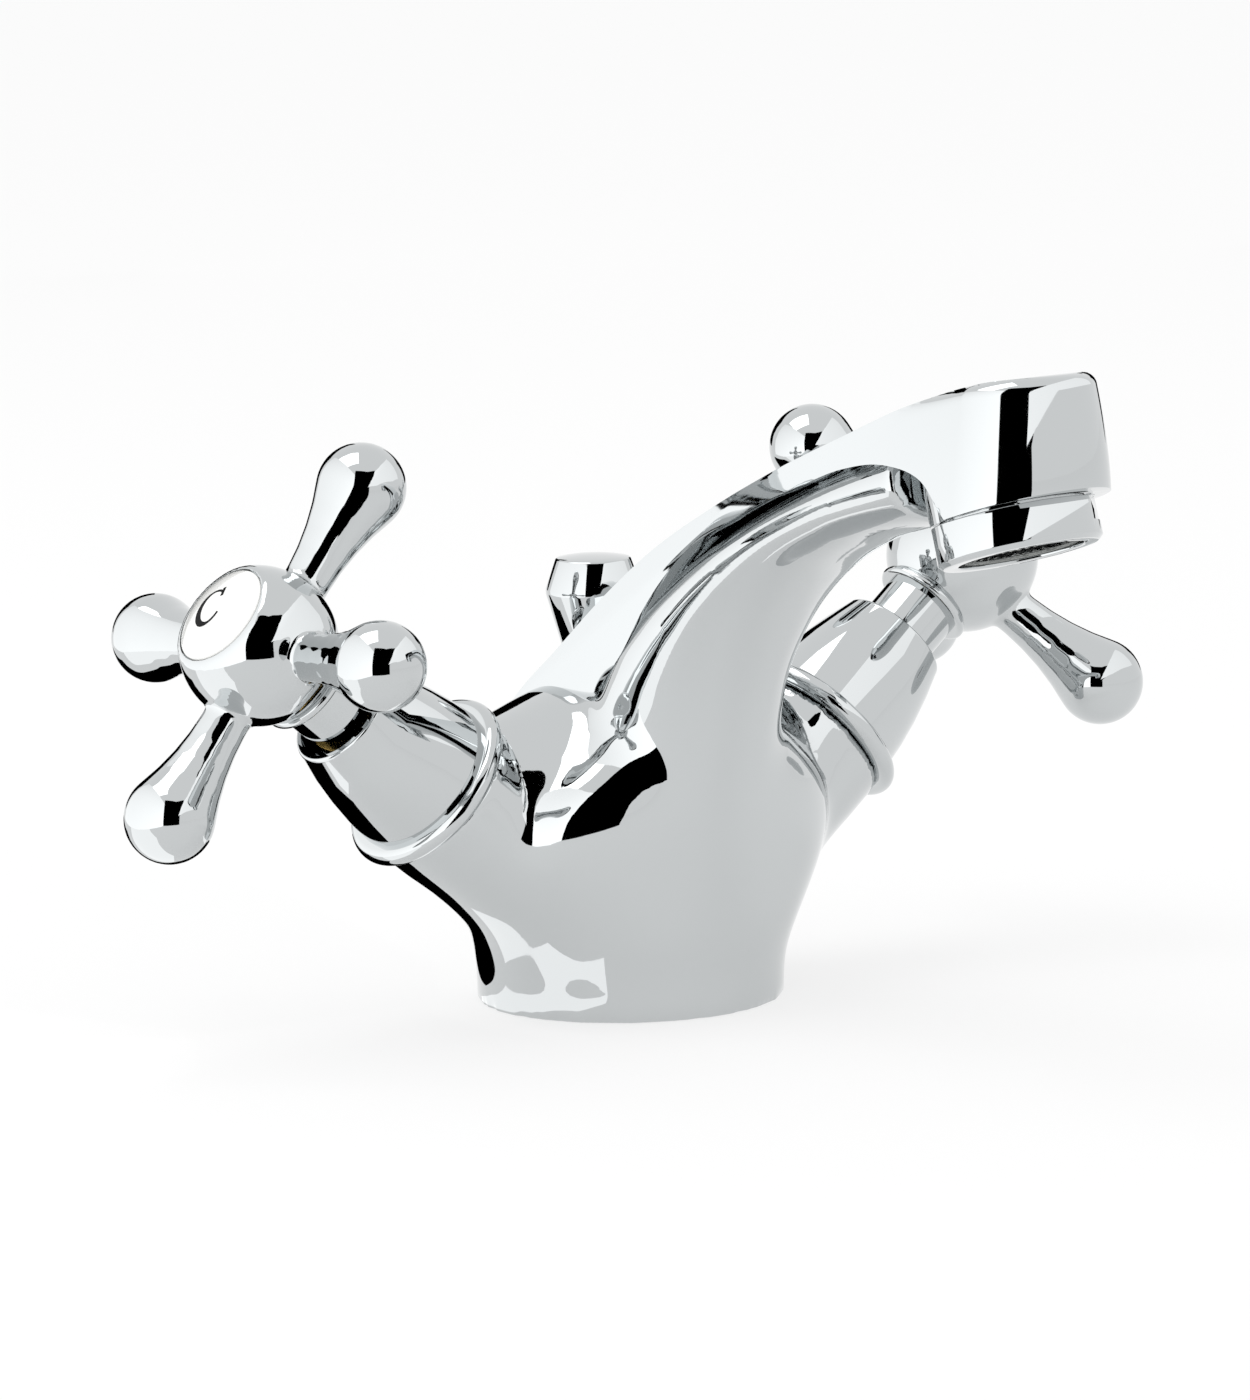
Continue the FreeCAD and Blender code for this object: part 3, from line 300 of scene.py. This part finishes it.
for shares in (neck_shares, skirt_shares):
    rows = [(0, 0, inside, inside, 0), (0, straight_foot, inside, inside, 0)]
    rows += [(-forward * reach, up * outlet_height, wide * half_hood, deep * half_hood, lean)
             for forward, up, wide, deep, lean in shares]
    forms.append(loft([section(0, y, z, wide, deep, "X", lean)
                       for y, z, wide, deep, lean in curve_through(rows, count=90)]))

# The hood's side view, along its top and back along its lower edge: forward and up, in the same shares.
hood_top = [(-0.195, 0.159), (-0.232, 0.273), (-0.229, 0.362), (-0.191, 0.456), (-0.126, 0.541),
            (0.005, 0.656), (0.135, 0.767), (0.270, 0.867), (0.431, 0.961), (0.588, 1.041), (0.746, 1.114),
            (0.919, 1.191), (1.029, 1.227), (1.114, 1.240), (1.193, 1.245)]
hood_edge = [(1.000, 1.000), (0.944, 1.059), (0.848, 1.077), (0.748, 1.059), (0.652, 1.021), (0.546, 0.977),
             (0.458, 0.933), (0.375, 0.887), (0.311, 0.835), (0.242, 0.759), (0.180, 0.671), (0.104, 0.583),
             (0.040, 0.478)]
outlet_tilt = math.radians(17.5)
tip = hood_top[-1][0]
tip_low = outlet_height + math.tan(outlet_tilt) * (tip * reach - reach)
hood_low = 6 * mm
side_view = curve_through(hood_top, count=120) + [(tip, tip_low / outlet_height)]
side_view += curve_through(hood_edge, count=90)
side_view += [(0.040, hood_low / outlet_height), (-0.160, hood_low / outlet_height)]
slab = plate([(-half_hood, -forward * reach, up * outlet_height) for forward, up in side_view],
             (2 * half_hood, 0, 0))
hood = piece_of("hood_slab", slab, chrome)
# From above, the hood has straight sides between the round nose's centre and the centre of its round back.
nose = reach + 2.49 * mm
round_back = foot_radius - half_hood
plan_view = outline([(-half_hood, -nose, half_hood), (half_hood, -nose), (half_hood, round_back, half_hood),
                     (-half_hood, round_back)], step=math.radians(1.5))
plan = plate([(point.x, point.y, -mm) for point in plan_view], (0, 0, 2 * outlet_height))
carve(hood, piece_of("hood_plan", plan, chrome), "INTERSECT")
# Its edges are softened, those of the top more than the others.
top_soft = 1.2 * mm
other_soft = 1.0 * mm
sharp_angle = math.radians(40)
mesh = bmesh.new()
mesh.from_mesh(hood.data)
bmesh.ops.dissolve_limit(mesh, angle_limit=math.radians(0.2), verts=mesh.verts, edges=mesh.edges)
for soft, on_top in ((top_soft, True), (other_soft, False)):
    edges = []
    for edge in mesh.edges:
        sharp = len(edge.link_faces) == 2 and edge.calc_face_angle() > sharp_angle
        if sharp and (max(face.normal.z for face in edge.link_faces) > 0.5) == on_top:
            edges.append(edge)
    bmesh.ops.bevel(mesh, geom=edges, offset=soft, segments=5, profile=0.5, affect="EDGES", material=-1,
                    clamp_overlap=True)
# The head is cut into short faces, so that it can bend: every millimetre of its height, every quarter of one
# near its top, and every two forward. Then it narrows towards its top and rounds over there, by most at the
# nose and not at all further back.
nose_draft = 0.17
nose_round = 0.13
round_share = 0.10
draft_start = 60 * mm
round_start = 85 * mm
heights = list(range(88, 102)) + [102 + quarter / 4 for quarter in range(29)]
cuts = [((0, 0, height * mm), (0, 0, 1)) for height in heights]
cuts += [((0, -forward * mm, 0), (0, 1, 0)) for forward in range(61, 104, 2)]
for place, normal in cuts:
    bmesh.ops.bisect_plane(mesh, geom=mesh.verts[:] + mesh.edges[:] + mesh.faces[:],
                           plane_co=place, plane_no=normal)
for point in mesh.verts:
    forward = -point.co.y
    low = outlet_height + math.tan(outlet_tilt) * (forward - reach)
    high = float(np.interp(forward / reach, *zip(*hood_top))) * outlet_height
    share = min(1, max(0, (point.co.z - low) / (high - low)))
    over = min(1, max(0, (share - 1 + round_share) / round_share))
    shrink = 1
    for most, begin in ((nose_draft * share ** 1.6, draft_start),
                        (nose_round * (1 - math.sqrt(1 - over * over)), round_start)):
        part = min(1, max(0, (forward - begin) / (nose - begin)))
        shrink -= most * part * part * (3 - 2 * part)
    point.co.x *= shrink
    if forward > nose:
        point.co.y = -nose - (forward - nose) * shrink
mesh.to_mesh(hood.data)
mesh.free()

# The forms are joined, and smoothing blends them into each other. It leaves the arms' ends, the foot's rim
# and the head as they are, and fades in over some way from each.
firm_arm = 7 * mm
arm_fade = 12 * mm
rim_fade = 10 * mm
firm_head = 75 * mm
head_fade = 25 * mm
cast = piece_of("cast_body", joined(forms), chrome)
applied(cast, "REMESH", mode="VOXEL", voxel_size=0.7 * mm)
blend = cast.vertex_groups.new(name="blend")
for point in cast.data.vertices:
    spot = point.co
    along = (spot - arm_start).dot(arm_axis["hot" if spot.x > 0 else "cold"])
    free = min(1, max(0, (arm_end - firm_arm - along) / arm_fade), max(0, spot.z / rim_fade),
               max(0, (spot.y + firm_head) / head_fade))
    blend.add([point.index], free, "REPLACE")
applied(cast, "SMOOTH", factor=0.5, iterations=250, vertex_group="blend")
applied(cast, "SMOOTH", factor=0.5, iterations=6)
carve(cast, hood, "UNION")
# The boss and the nozzle under the head, square to the tilted outlet.
under_head = Matrix.Translation((0, -reach, outlet_height)) @ Matrix.Rotation(-outlet_tilt, 4, "X")
for corners in ([(0, 0), (12.45, 0), (12.45, 5), (11.6, 12.5), (0, 12.5)],
                [(0, -3.4), (10.9, -3.4), (10.9, 2), (0, 2)]):
    carve(cast, piece_of("boss", turned(scaled(corners), under_head), chrome), "UNION")
# The open foot with its gasket groove, and above it the blind holes for the two hoses and for the stud.
cavity = 10
for corners in ([(0, -1), (19, -1), (19, cavity), (0, cavity)],
                [(20.55, -1), (22.65, -1), (22.65, 2.05), (20.55, 2.05)]):
    carve(cast, piece_of("tool", turned(scaled(corners)), chrome))
for x, y, radius, depth in ((9.5, -3, 4.55, 11), (-9.5, -3, 4.55, 11), (0, -15, 3.4, 14)):
    corners = [(0, cavity - 1), (radius, cavity - 1), (radius, cavity + depth), (0, cavity + depth)]
    drill = turned(scaled(corners), Matrix.Translation((x * mm, y * mm, 0)), steps=64)
    carve(cast, piece_of("tool", drill, chrome))
# The stepped bore of the lift rod, which widens into a round well behind the hood, and the valve chambers.
rod_back = 7.65 * mm
rod_bore = [(0, 8), (2.8, 8), (2.8, 30.9), (4.25, 30.9), (4.25, 51), (6.2, 51), (6.2, 90), (0, 90)]
carve(cast, piece_of("tool", turned(scaled(rod_bore), Matrix.Translation((0, rod_back, 0))), chrome))
for tap in ("cold", "hot"):
    chamber = [(0, 24 * mm), (9.3 * mm, 24 * mm), (9.3 * mm, 35 * mm), (10.35 * mm, 35 * mm),
               (10.35 * mm, arm_end + mm), (0, arm_end + mm)]
    carve(cast, piece_of("tool", turned(chamber, on_arm(tap, 0)), chrome))
shade(cast.data, 40)
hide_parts("body_casting")
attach(cast, "tap_body")

# Shrouds
# Spun brass covers over the valves, chrome plated. Each has a rolled bead that rests on the arm's end and a
# slightly bulging cone, and is screwed to the headwork inside it.
shroud_corners = [(11.7, 48.2), (13.6, 48.2, 1.6), (15.2, 49.8, 1.6), (13.6, 51.4), (12.85, 51.4, 70),
                  (9.2, 69.75, 0.55), (8.65, 70.3), (8.1, 70.3), (10.1, 60), (7.45, 60), (7.45, 57.5),
                  (10.65, 57.5)]
for tap in ("cold", "hot"):
    cone = turned(scaled(shroud_corners), on_arm(tap, 0), steps=160)
    shroud = piece_of(tap + "_shroud_cover", cone, chrome)
    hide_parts(tap + "_shroud")
    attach(shroud, "tap_body")

# Cross handles
# One brass casting each: a hollow hub, four stems that thicken into balls, and a beaded neck that turns in
# the shroud's mouth. Polished and plated, with small fillets where the stems leave the hub.
lever_along = 87.4 * mm
lever_corners = [(0, 6), (3.75, 6), (3.75, 13.5, -44), (6.67, 28.12, 7.1), (0, 37.65)]
hub_corners = [(0, 78.8), (7.4, 78.8), (7.4, 79.2, 11.5), (12.4, 89.6, 12.5), (9, 97.9), (0, 97.9)]
neck_corners = [(4.1, 66), (6.5, 66), (6.5, 77.6), (7.4, 77.6, 0.8), (8.2, 78.4, 0.8), (7.4, 79.2),
                (4.1, 79.6)]
recess_corners = [(0, 66), (4.1, 66), (4.1, 83.8), (2.3, 83.8), (2.3, 87), (5.05, 87), (5.05, 95.9),
                  (8.45, 95.9), (8.45, 99), (0, 99)]
# The angle of the first lever round the arm's axis, as the handles stand in the photograph.
first_lever = {"cold": 2.6, "hot": 54.9}
for tap in ("cold", "hot"):
    shells = [turned(scaled(hub_corners), on_arm(tap, 0), steps=160)]
    for quarter in range(4):
        around = Matrix.Rotation(math.radians(first_lever[tap] + 90 * quarter), 4, "Z")
        outwards = around @ Matrix.Rotation(math.pi / 2, 4, "Y")
        shells.append(turned(scaled(lever_corners), on_arm(tap, lever_along) @ outwards, steps=96))
    handle = piece_of(tap + "_cross", joined(shells), chrome)
    applied(handle, "REMESH", mode="VOXEL", voxel_size=0.42 * mm)
    applied(handle, "SMOOTH", factor=0.5, iterations=8)
    recess = turned(scaled(recess_corners), on_arm(tap, 0), steps=160)
    carve(handle, piece_of("tool", recess, chrome))
    neck = turned(scaled(neck_corners), on_arm(tap, 0))
    neck.from_mesh(handle.data)
    neck.to_mesh(handle.data)
    neck.free()
    shade(handle.data, 40)
    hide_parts(tap + "_cross_handle")
    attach(handle, tap + "_handle")

# Index caps
# Domed discs of glossy white plastic that snap into the hubs and hide the screws, each printed in black with
# a slanted letter: C on the cold side and H on the hot side.


def grained(name, inputs, size, detail, gloss=None, relief=None):
    """A surface with a fine grain of that size, which varies its roughness between two values, or raises it
    by a strength and a height."""
    material, tree, shader = surface(name, inputs)
    place = add(tree, "ShaderNodeTexCoord")
    grain = add(tree, "ShaderNodeTexNoise", {"Vector": place.outputs["Object"], "Scale": 1 / size,
                                             "Detail": detail})
    if gloss:
        rough = add(tree, "ShaderNodeMapRange", {"Value": grain.outputs["Fac"], "To Min": gloss[0],
                                                 "To Max": gloss[1]})
        tree.links.new(rough.outputs["Result"], shader.inputs["Roughness"])
    if relief:
        bump = add(tree, "ShaderNodeBump", {"Height": grain.outputs["Fac"], "Strength": relief[0],
                                            "Distance": relief[1]})
        tree.links.new(bump.outputs["Normal"], shader.inputs["Normal"])
    return material


# Injection-moulded white plastic: glossy, with the faint ripple of its flow into the mould.
white_plastic = grained("moulded_white_plastic", {
    "Base Color": linear("#F3F3F1"), "Roughness": 0.12, "IOR": 1.5, "Coat Weight": 0.3,
    "Coat Roughness": 0.05}, size=3 * mm, detail=2.0, relief=(0.15, 0.02 * mm))
# Pad-printed black ink: matt, hardly shining, and slightly uneven in its tone.
ink_grain = 0.15 * mm
print_black, tree, shader = surface("printed_black", {
    "Base Color": linear("#0E0E10"), "Roughness": 0.6, "Specular IOR Level": 0.1})
place = add(tree, "ShaderNodeTexCoord")
grain = add(tree, "ShaderNodeTexNoise", {"Vector": place.outputs["Object"], "Scale": 1 / ink_grain,
                                         "Detail": 2.0})
tone = add(tree, "ShaderNodeMixRGB", {"Fac": grain.outputs["Fac"], "Color1": linear("#0A0A0C"),
                                      "Color2": linear("#141417")})
tree.links.new(tone.outputs["Color"], shader.inputs["Base Color"])
# The letters stand upright in the photograph's view, whose right-hand direction this is.
view_right = Vector((0.81274, -0.58216, -0.02321))
rim = 97.9
dome_rise = 2.4
cap_radius = 8.22
dome_radius = (cap_radius ** 2 + dome_rise ** 2) / (2 * dome_rise)
cap_corners = [(0, 92.5), (5, 92.5), (5, 95.9), (cap_radius, 95.9), (cap_radius, rim, dome_radius),
               (0, rim + dome_rise)]
letter_size = 5.9
slant = 0.24
ink_height = 0.03


def brush(path):
    """A strip of small flat faces along a path of points, each with the strip's width there."""
    strip = []
    for k, (x, y, wide) in enumerate(path):
        before, after = Vector(path[max(k - 1, 0)][:2]), Vector(path[min(k + 1, len(path) - 1)][:2])
        side = (after - before).normalized().orthogonal() * wide / 2
        strip.append((Vector((x, y)) + side, Vector((x, y)) - side))
    return strip


def straight(x, low, end_x, high, wide):
    """A strip of even width from one point to another, in nine faces that follow the cap's dome."""
    shares = [k / 9 for k in range(10)]
    return brush([(x + (end_x - x) * share, low + (high - low) * share, wide) for share in shares])


# Strokes in heights of a letter: the C is a bow, thickest on its left, with a serif at its upper end, and
# the H has serifs on both stems.
bow = []
for k in range(37):
    angle = math.radians(42 + 276 * k / 36)
    thickness = 0.07 + 0.15 * max(0, -math.cos(angle)) ** 1.3
    bow.append((0.44 * math.cos(angle), 0.48 * math.sin(angle), thickness))
letters = {"cold": [brush(bow), straight(0.33, 0.18, 0.33, 0.48, 0.09)],
           "hot": [straight(-0.27, -0.46, -0.27, 0.46, 0.14), straight(0.27, -0.46, 0.27, 0.46, 0.14),
                   straight(-0.27, 0, 0.27, 0, 0.06)]
           + [straight(x - 0.14, y, x + 0.14, y, 0.055) for x in (-0.27, 0.27) for y in (-0.46, 0.46)]}
for tap in ("cold", "hot"):
    cap = turned(scaled(cap_corners), on_arm(tap, 0), soft=0.2 * mm)
    cap = piece_of(tap + "_domed_cap", cap, white_plastic)
    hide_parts(tap + "_index_cap")
    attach(cap, tap + "_handle")
    axis = arm_axis[tap]
    across = view_right - axis * view_right.dot(axis)
    across.normalize()
    upright = axis.cross(across)
    print_mesh = bmesh.new()
    for strip in letters[tap]:
        rows = []
        for pair in strip:
            row = []
            for point in pair:
                x, y = (point.x + slant * point.y) * letter_size, point.y * letter_size
                dome = math.sqrt(dome_radius ** 2 - x * x - y * y)
                along = rim + dome_rise - dome_radius + dome + ink_height
                spot = across * x + upright * y + axis * along
                row.append(print_mesh.verts.new(arm_start + spot * mm))
            rows.append(row)
        for (a, b), (c, d) in zip(rows, rows[1:]):
            print_mesh.faces.new((a, b, d, c))
    letter = piece_of(tap + "_letter", print_mesh, print_black)
    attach(letter, tap + "_handle")

# Aerator
# A plated brass housing with two spanner flats, screwed over the nozzle. It holds a fine woven steel net in
# its mouth, a plastic flow insert above that and a rubber washer.

# Drawn stainless steel wire: bright and grey, and duller than the plating.
steel = grained("drawn_stainless_steel", {"Base Color": linear("#B9B9B6"), "Metallic": 1.0},
                size=0.8 * mm, detail=3.0, gloss=(0.2, 0.4))
collar_corners = [(9.5, -6.6), (11.8, -6.6), (12.5, -5.9), (12.5, -0.3), (10.95, -0.3), (10.95, -5.5),
                  (9.5, -5.5)]
collar = turned(scaled(collar_corners), under_head, soft=0.15 * mm)
collar = piece_of("aerator_housing", collar, chrome)
# A block takes each spanner flat off the housing.
block_size = (8.2 * mm, 30 * mm, 3.9 * mm)
block_place = Matrix.Translation((16.1 * mm, 0, -1.95 * mm))
for angle in (-45, 135):
    block = bmesh.new()
    around = under_head @ Matrix.Rotation(math.radians(angle), 4, "Z")
    bmesh.ops.create_cube(block, size=1, matrix=around @ block_place @ Matrix.Diagonal((*block_size, 1)))
    carve(collar, piece_of("tool", block, chrome))
shade(collar.data, 30)
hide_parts("aerator_collar")
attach(collar, "tap_body")

# The net is woven coarser than the real one, so that its wires still show in the picture.
wire_spacing = 0.85 * mm
wire_size = 0.24 * mm
wire_wave = 0.1 * mm
net_radius = 10.6 * mm
net_place = Matrix.Translation((0, 0, -4.7 * mm))
cells = 24
net = bmesh.new()
bmesh.ops.create_grid(net, x_segments=cells, y_segments=cells, size=cells * wire_spacing / 2)
outer = [point for point in net.verts if point.co.length > net_radius]
bmesh.ops.delete(net, geom=outer, context="VERTS")
for point in net.verts:
    column = round(point.co.x / wire_spacing * 2)
    row = round(point.co.y / wire_spacing * 2)
    point.co.z = wire_wave if (column // 2 + row // 2) % 2 else -wire_wave
bmesh.ops.wireframe(net, faces=net.faces, thickness=wire_size, use_even_offset=True, use_replace=True)
bmesh.ops.transform(net, matrix=under_head @ net_place, verts=net.verts)
net = piece_of("aerator_net", net, steel)
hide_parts("aerator_mesh")
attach(net, "tap_body")

# Lift knob and rod
# A turned brass knob screwed to a plated rod, which slides in a plastic bush behind the spout and opens the
# basin's waste.
knob_corners = [(0, 52.6), (4.4, 52.6), (7.7, 64.4), (7.7, 65.2), (6, 70, 30.3), (0, 70.6)]
knob_place = Matrix.Translation((0, rod_back, 0))
knob = piece_of("waste_knob", turned(scaled(knob_corners), knob_place, soft=0.25 * mm), chrome)
rod_corners = [(0, 3), (2.5, 3), (2.5, 53), (0, 53)]
rod = piece_of("waste_rod", turned(scaled(rod_corners), knob_place, soft=0.3 * mm), chrome)
for piece, node in ((knob, "lift_knob"), (rod, "lift_rod")):
    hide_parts(node)
    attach(piece, "pop_up_lift")

# Inner pieces
# Turned brass headworks and spindles, ceramic discs, rubber rings, steel clips and screws, and grey moulded
# plastic. They keep their exact shapes and only get their finishes.

# Turned brass: warm yellow, with fine tool marks that vary its gloss.
brass = grained("turned_brass", {"Base Color": linear("#C9A45C"), "Metallic": 1.0},
                size=0.5 * mm, detail=2.0, gloss=(0.18, 0.34))
# Fired and lapped ceramic: off white, dense and nearly smooth.
ceramic = grained("lapped_ceramic", {"Base Color": linear("#E9E6DD"), "Roughness": 0.2, "IOR": 1.7},
                  size=0.2 * mm, detail=2.0, relief=(0.1, 0.01 * mm))
# Moulded rubber: black and matt, with a slightly uneven skin.
rubber = grained("moulded_rubber", {"Base Color": linear("#161616"), "Roughness": 0.6, "IOR": 1.52},
                 size=0.3 * mm, detail=3.0, relief=(0.3, 0.02 * mm))
# Moulded grey plastic: half matt, with the fine texture of its mould.
grey_plastic = grained("moulded_grey_plastic", {
    "Base Color": linear("#BFC2C3"), "Roughness": 0.4, "IOR": 1.49}, size=0.6 * mm, detail=3.0,
    relief=(0.2, 0.02 * mm))
finishes = {"headwork": brass, "spindle": brass, "disc": ceramic, "seal": rubber, "gasket": rubber,
            "washer": rubber, "clip": steel, "screw": steel, "bush": grey_plastic,
            "insert": grey_plastic}
for name, node in frame["nodes"].items():
    ending = name.rsplit("_", 1)[-1]
    if ending in finishes:
        node.data.materials.clear()
        node.data.materials.append(finishes[ending])

# Camera
# The photograph's view, from the front left and a little above, through a long lens.
camera_place = (-0.700107, -0.985403, 0.241896)
view_up = Vector((0.11099, 0.11560, 0.98708))
lens = bpy.data.cameras.new("camera")
lens.lens = 197.17
lens.clip_start = 0.05
camera = bpy.data.objects.new("camera", lens)
bpy.context.scene.collection.objects.link(camera)
view = Matrix((view_right, view_up, view_right.cross(view_up))).transposed().to_4x4()
camera.matrix_world = Matrix.Translation(camera_place) @ view
bpy.context.scene.camera = camera

# Studio
# A pale floor that runs on into a white surround. The plating shows two bright panels at the sides, the dark
# gap between them in which the camera stands, two dark flags behind, and sheets of painted light and painted
# shade that lie on the floor.
centre = Vector((0, -40 * mm, 55 * mm))
ahead = Vector((0.572, 0.805, 0)).normalized()
aside = Vector((0.805, -0.572, 0)).normalized()
# Painted board: pale and matt. Seen directly or in the plating it glows a little, so that it turns white,
# and it still takes the tap's shadow.
floor_paint, tree, shader = surface("floor_paint", {"Base Color": linear("#EFEFEF"), "Roughness": 0.9})
ray = add(tree, "ShaderNodeLightPath")
seen = add(tree, "ShaderNodeMath", {0: ray.outputs["Is Camera Ray"], 1: ray.outputs["Is Glossy Ray"]},
           operation="ADD")
shown = add(tree, "ShaderNodeMath", {0: seen.outputs[0], 1: ray.outputs["Is Transmission Ray"]},
            operation="ADD", use_clamp=True)
share = add(tree, "ShaderNodeMath", {0: shown.outputs[0], 1: 0.7}, operation="MULTIPLY")
glow = add(tree, "ShaderNodeEmission", {"Color": linear("#FFFFFF"), "Strength": 1.0})
mix = add(tree, "ShaderNodeMixShader", {0: share.outputs[0], 1: shader.outputs[0], 2: glow.outputs[0]})
tree.links.new(mix.outputs[0], tree.nodes["Material Output"].inputs["Surface"])
floor = bmesh.new()
bmesh.ops.create_grid(floor, x_segments=1, y_segments=1, size=6)
floor = piece_of("floor", floor, floor_paint)


def card(name, corners):
    """A card that shows only in reflections. Each corner is given in degrees to the right of the camera's
    direction, in metres from the tap and above the floor, and as the strength of its light."""
    material = bpy.data.materials.new(name)
    material.use_nodes = True
    material.node_tree.nodes.clear()
    glow = add(material.node_tree, "ShaderNodeAttribute", attribute_name="glow")
    light = add(material.node_tree, "ShaderNodeEmission", {
        "Color": linear("#FFFFFF"), "Strength": glow.outputs["Fac"]})
    add(material.node_tree, "ShaderNodeOutputMaterial", {"Surface": light.outputs[0]})
    mesh = bmesh.new()
    layer = mesh.verts.layers.float.new("glow")
    for angle, distance, height, strength in corners:
        turn = math.radians(angle)
        foot = centre + (aside * math.sin(turn) - ahead * math.cos(turn)) * distance
        mesh.verts.new((foot.x, foot.y, height))[layer] = strength
    mesh.faces.new(mesh.verts)
    piece = piece_of(name, mesh, material)
    piece.visible_camera = False
    piece.visible_diffuse = False
    piece.visible_shadow = False
    piece.visible_transmission = False


def lying(places, strength):
    """Corners of a card just above the floor, each given as an angle and a distance."""
    return [(angle, distance, 0.5 * mm, strength) for angle, distance in places]


# The bright panels, each a little stronger on the side towards the camera.
card("left_softbox", [(-27, 0.33, 0.0, 1.9), (-130, 0.40, 0.0, 1.5), (-130, 0.40, 0.34, 1.2),
                      (-27, 0.33, 0.34, 1.6)])
card("right_softbox", [(8, 0.31, 0.13, 1.5), (120, 0.36, 0.145, 1.3), (135, 0.38, 0.42, 1.3),
                       (42, 0.33, 0.42, 1.6)])
# The dark gap, which leans over to the right above the height of the tap.
card("camera_gap", [(-27, 0.34, 0.0, 0), (13, 0.34, 0.0, 0), (13, 0.34, 0.47, 0), (-27, 0.34, 0.47, 0)])
card("camera_gap_top", [(12, 0.345, 0.13, 0), (45, 0.345, 0.25, 0), (45, 0.345, 0.47, 0),
                        (12, 0.345, 0.47, 0)])
# Dark flags far behind, which draw the thin dark edges of the plating.
card("left_flag", [(-172, 1.2, 0.0, 0), (-143, 1.2, 0.0, 0), (-143, 1.2, 0.6, 0), (-172, 1.2, 0.6, 0)])
card("right_flag", [(150, 1.2, 0.0, 0), (172, 1.2, 0.0, 0), (172, 1.2, 0.4, 0), (150, 1.2, 0.4, 0)])
# On the floor: painted light by the left panel, the painted dark shade further round it and a bright sheet
# of painted light by the foot.
card("left_spill", lying([(-62, 0.14), (-68, 0.118), (-78, 0.092), (-93, 0.092), (-97, 0.19), (-100, 0.34),
                          (-60, 0.34)], 1.5))
card("left_shade", lying([(-95, 0.090), (-110, 0.0675), (-122, 0.064), (-137, 0.08), (-148, 0.16),
                          (-140, 0.36), (-112, 0.2)], 0))
# A bright sheet by the foot that shows only in the plating: painted light on the floor.
card("painted_light_by_foot", lying([(-86, 0.030), (-97, 0.046), (-112, 0.060), (-122, 0.057), (-104, 0.040),
                          (-90, 0.030)], 1.4))

# One soft lamp above and to the left, and the white surround.
lamp_height = 1.1
lamp_aside = 0.5
lamp = bpy.data.lights.new("overhead", "AREA")
lamp.energy = 4
lamp.size = 0.8
overhead = bpy.data.objects.new("overhead", lamp)
overhead.location = centre + Vector((0, 0, lamp_height)) - aside * lamp_aside
overhead.rotation_euler = (centre - overhead.location).to_track_quat("-Z", "Y").to_euler()
bpy.context.scene.collection.objects.link(overhead)

world = bpy.data.worlds.new("studio")
world.use_nodes = True
world.node_tree.nodes["Background"].inputs["Color"].default_value = linear("#FFFFFF")
world.node_tree.nodes["Background"].inputs["Strength"].default_value = 1.0
bpy.context.scene.world = world
bpy.context.scene.view_settings.view_transform = "Standard"
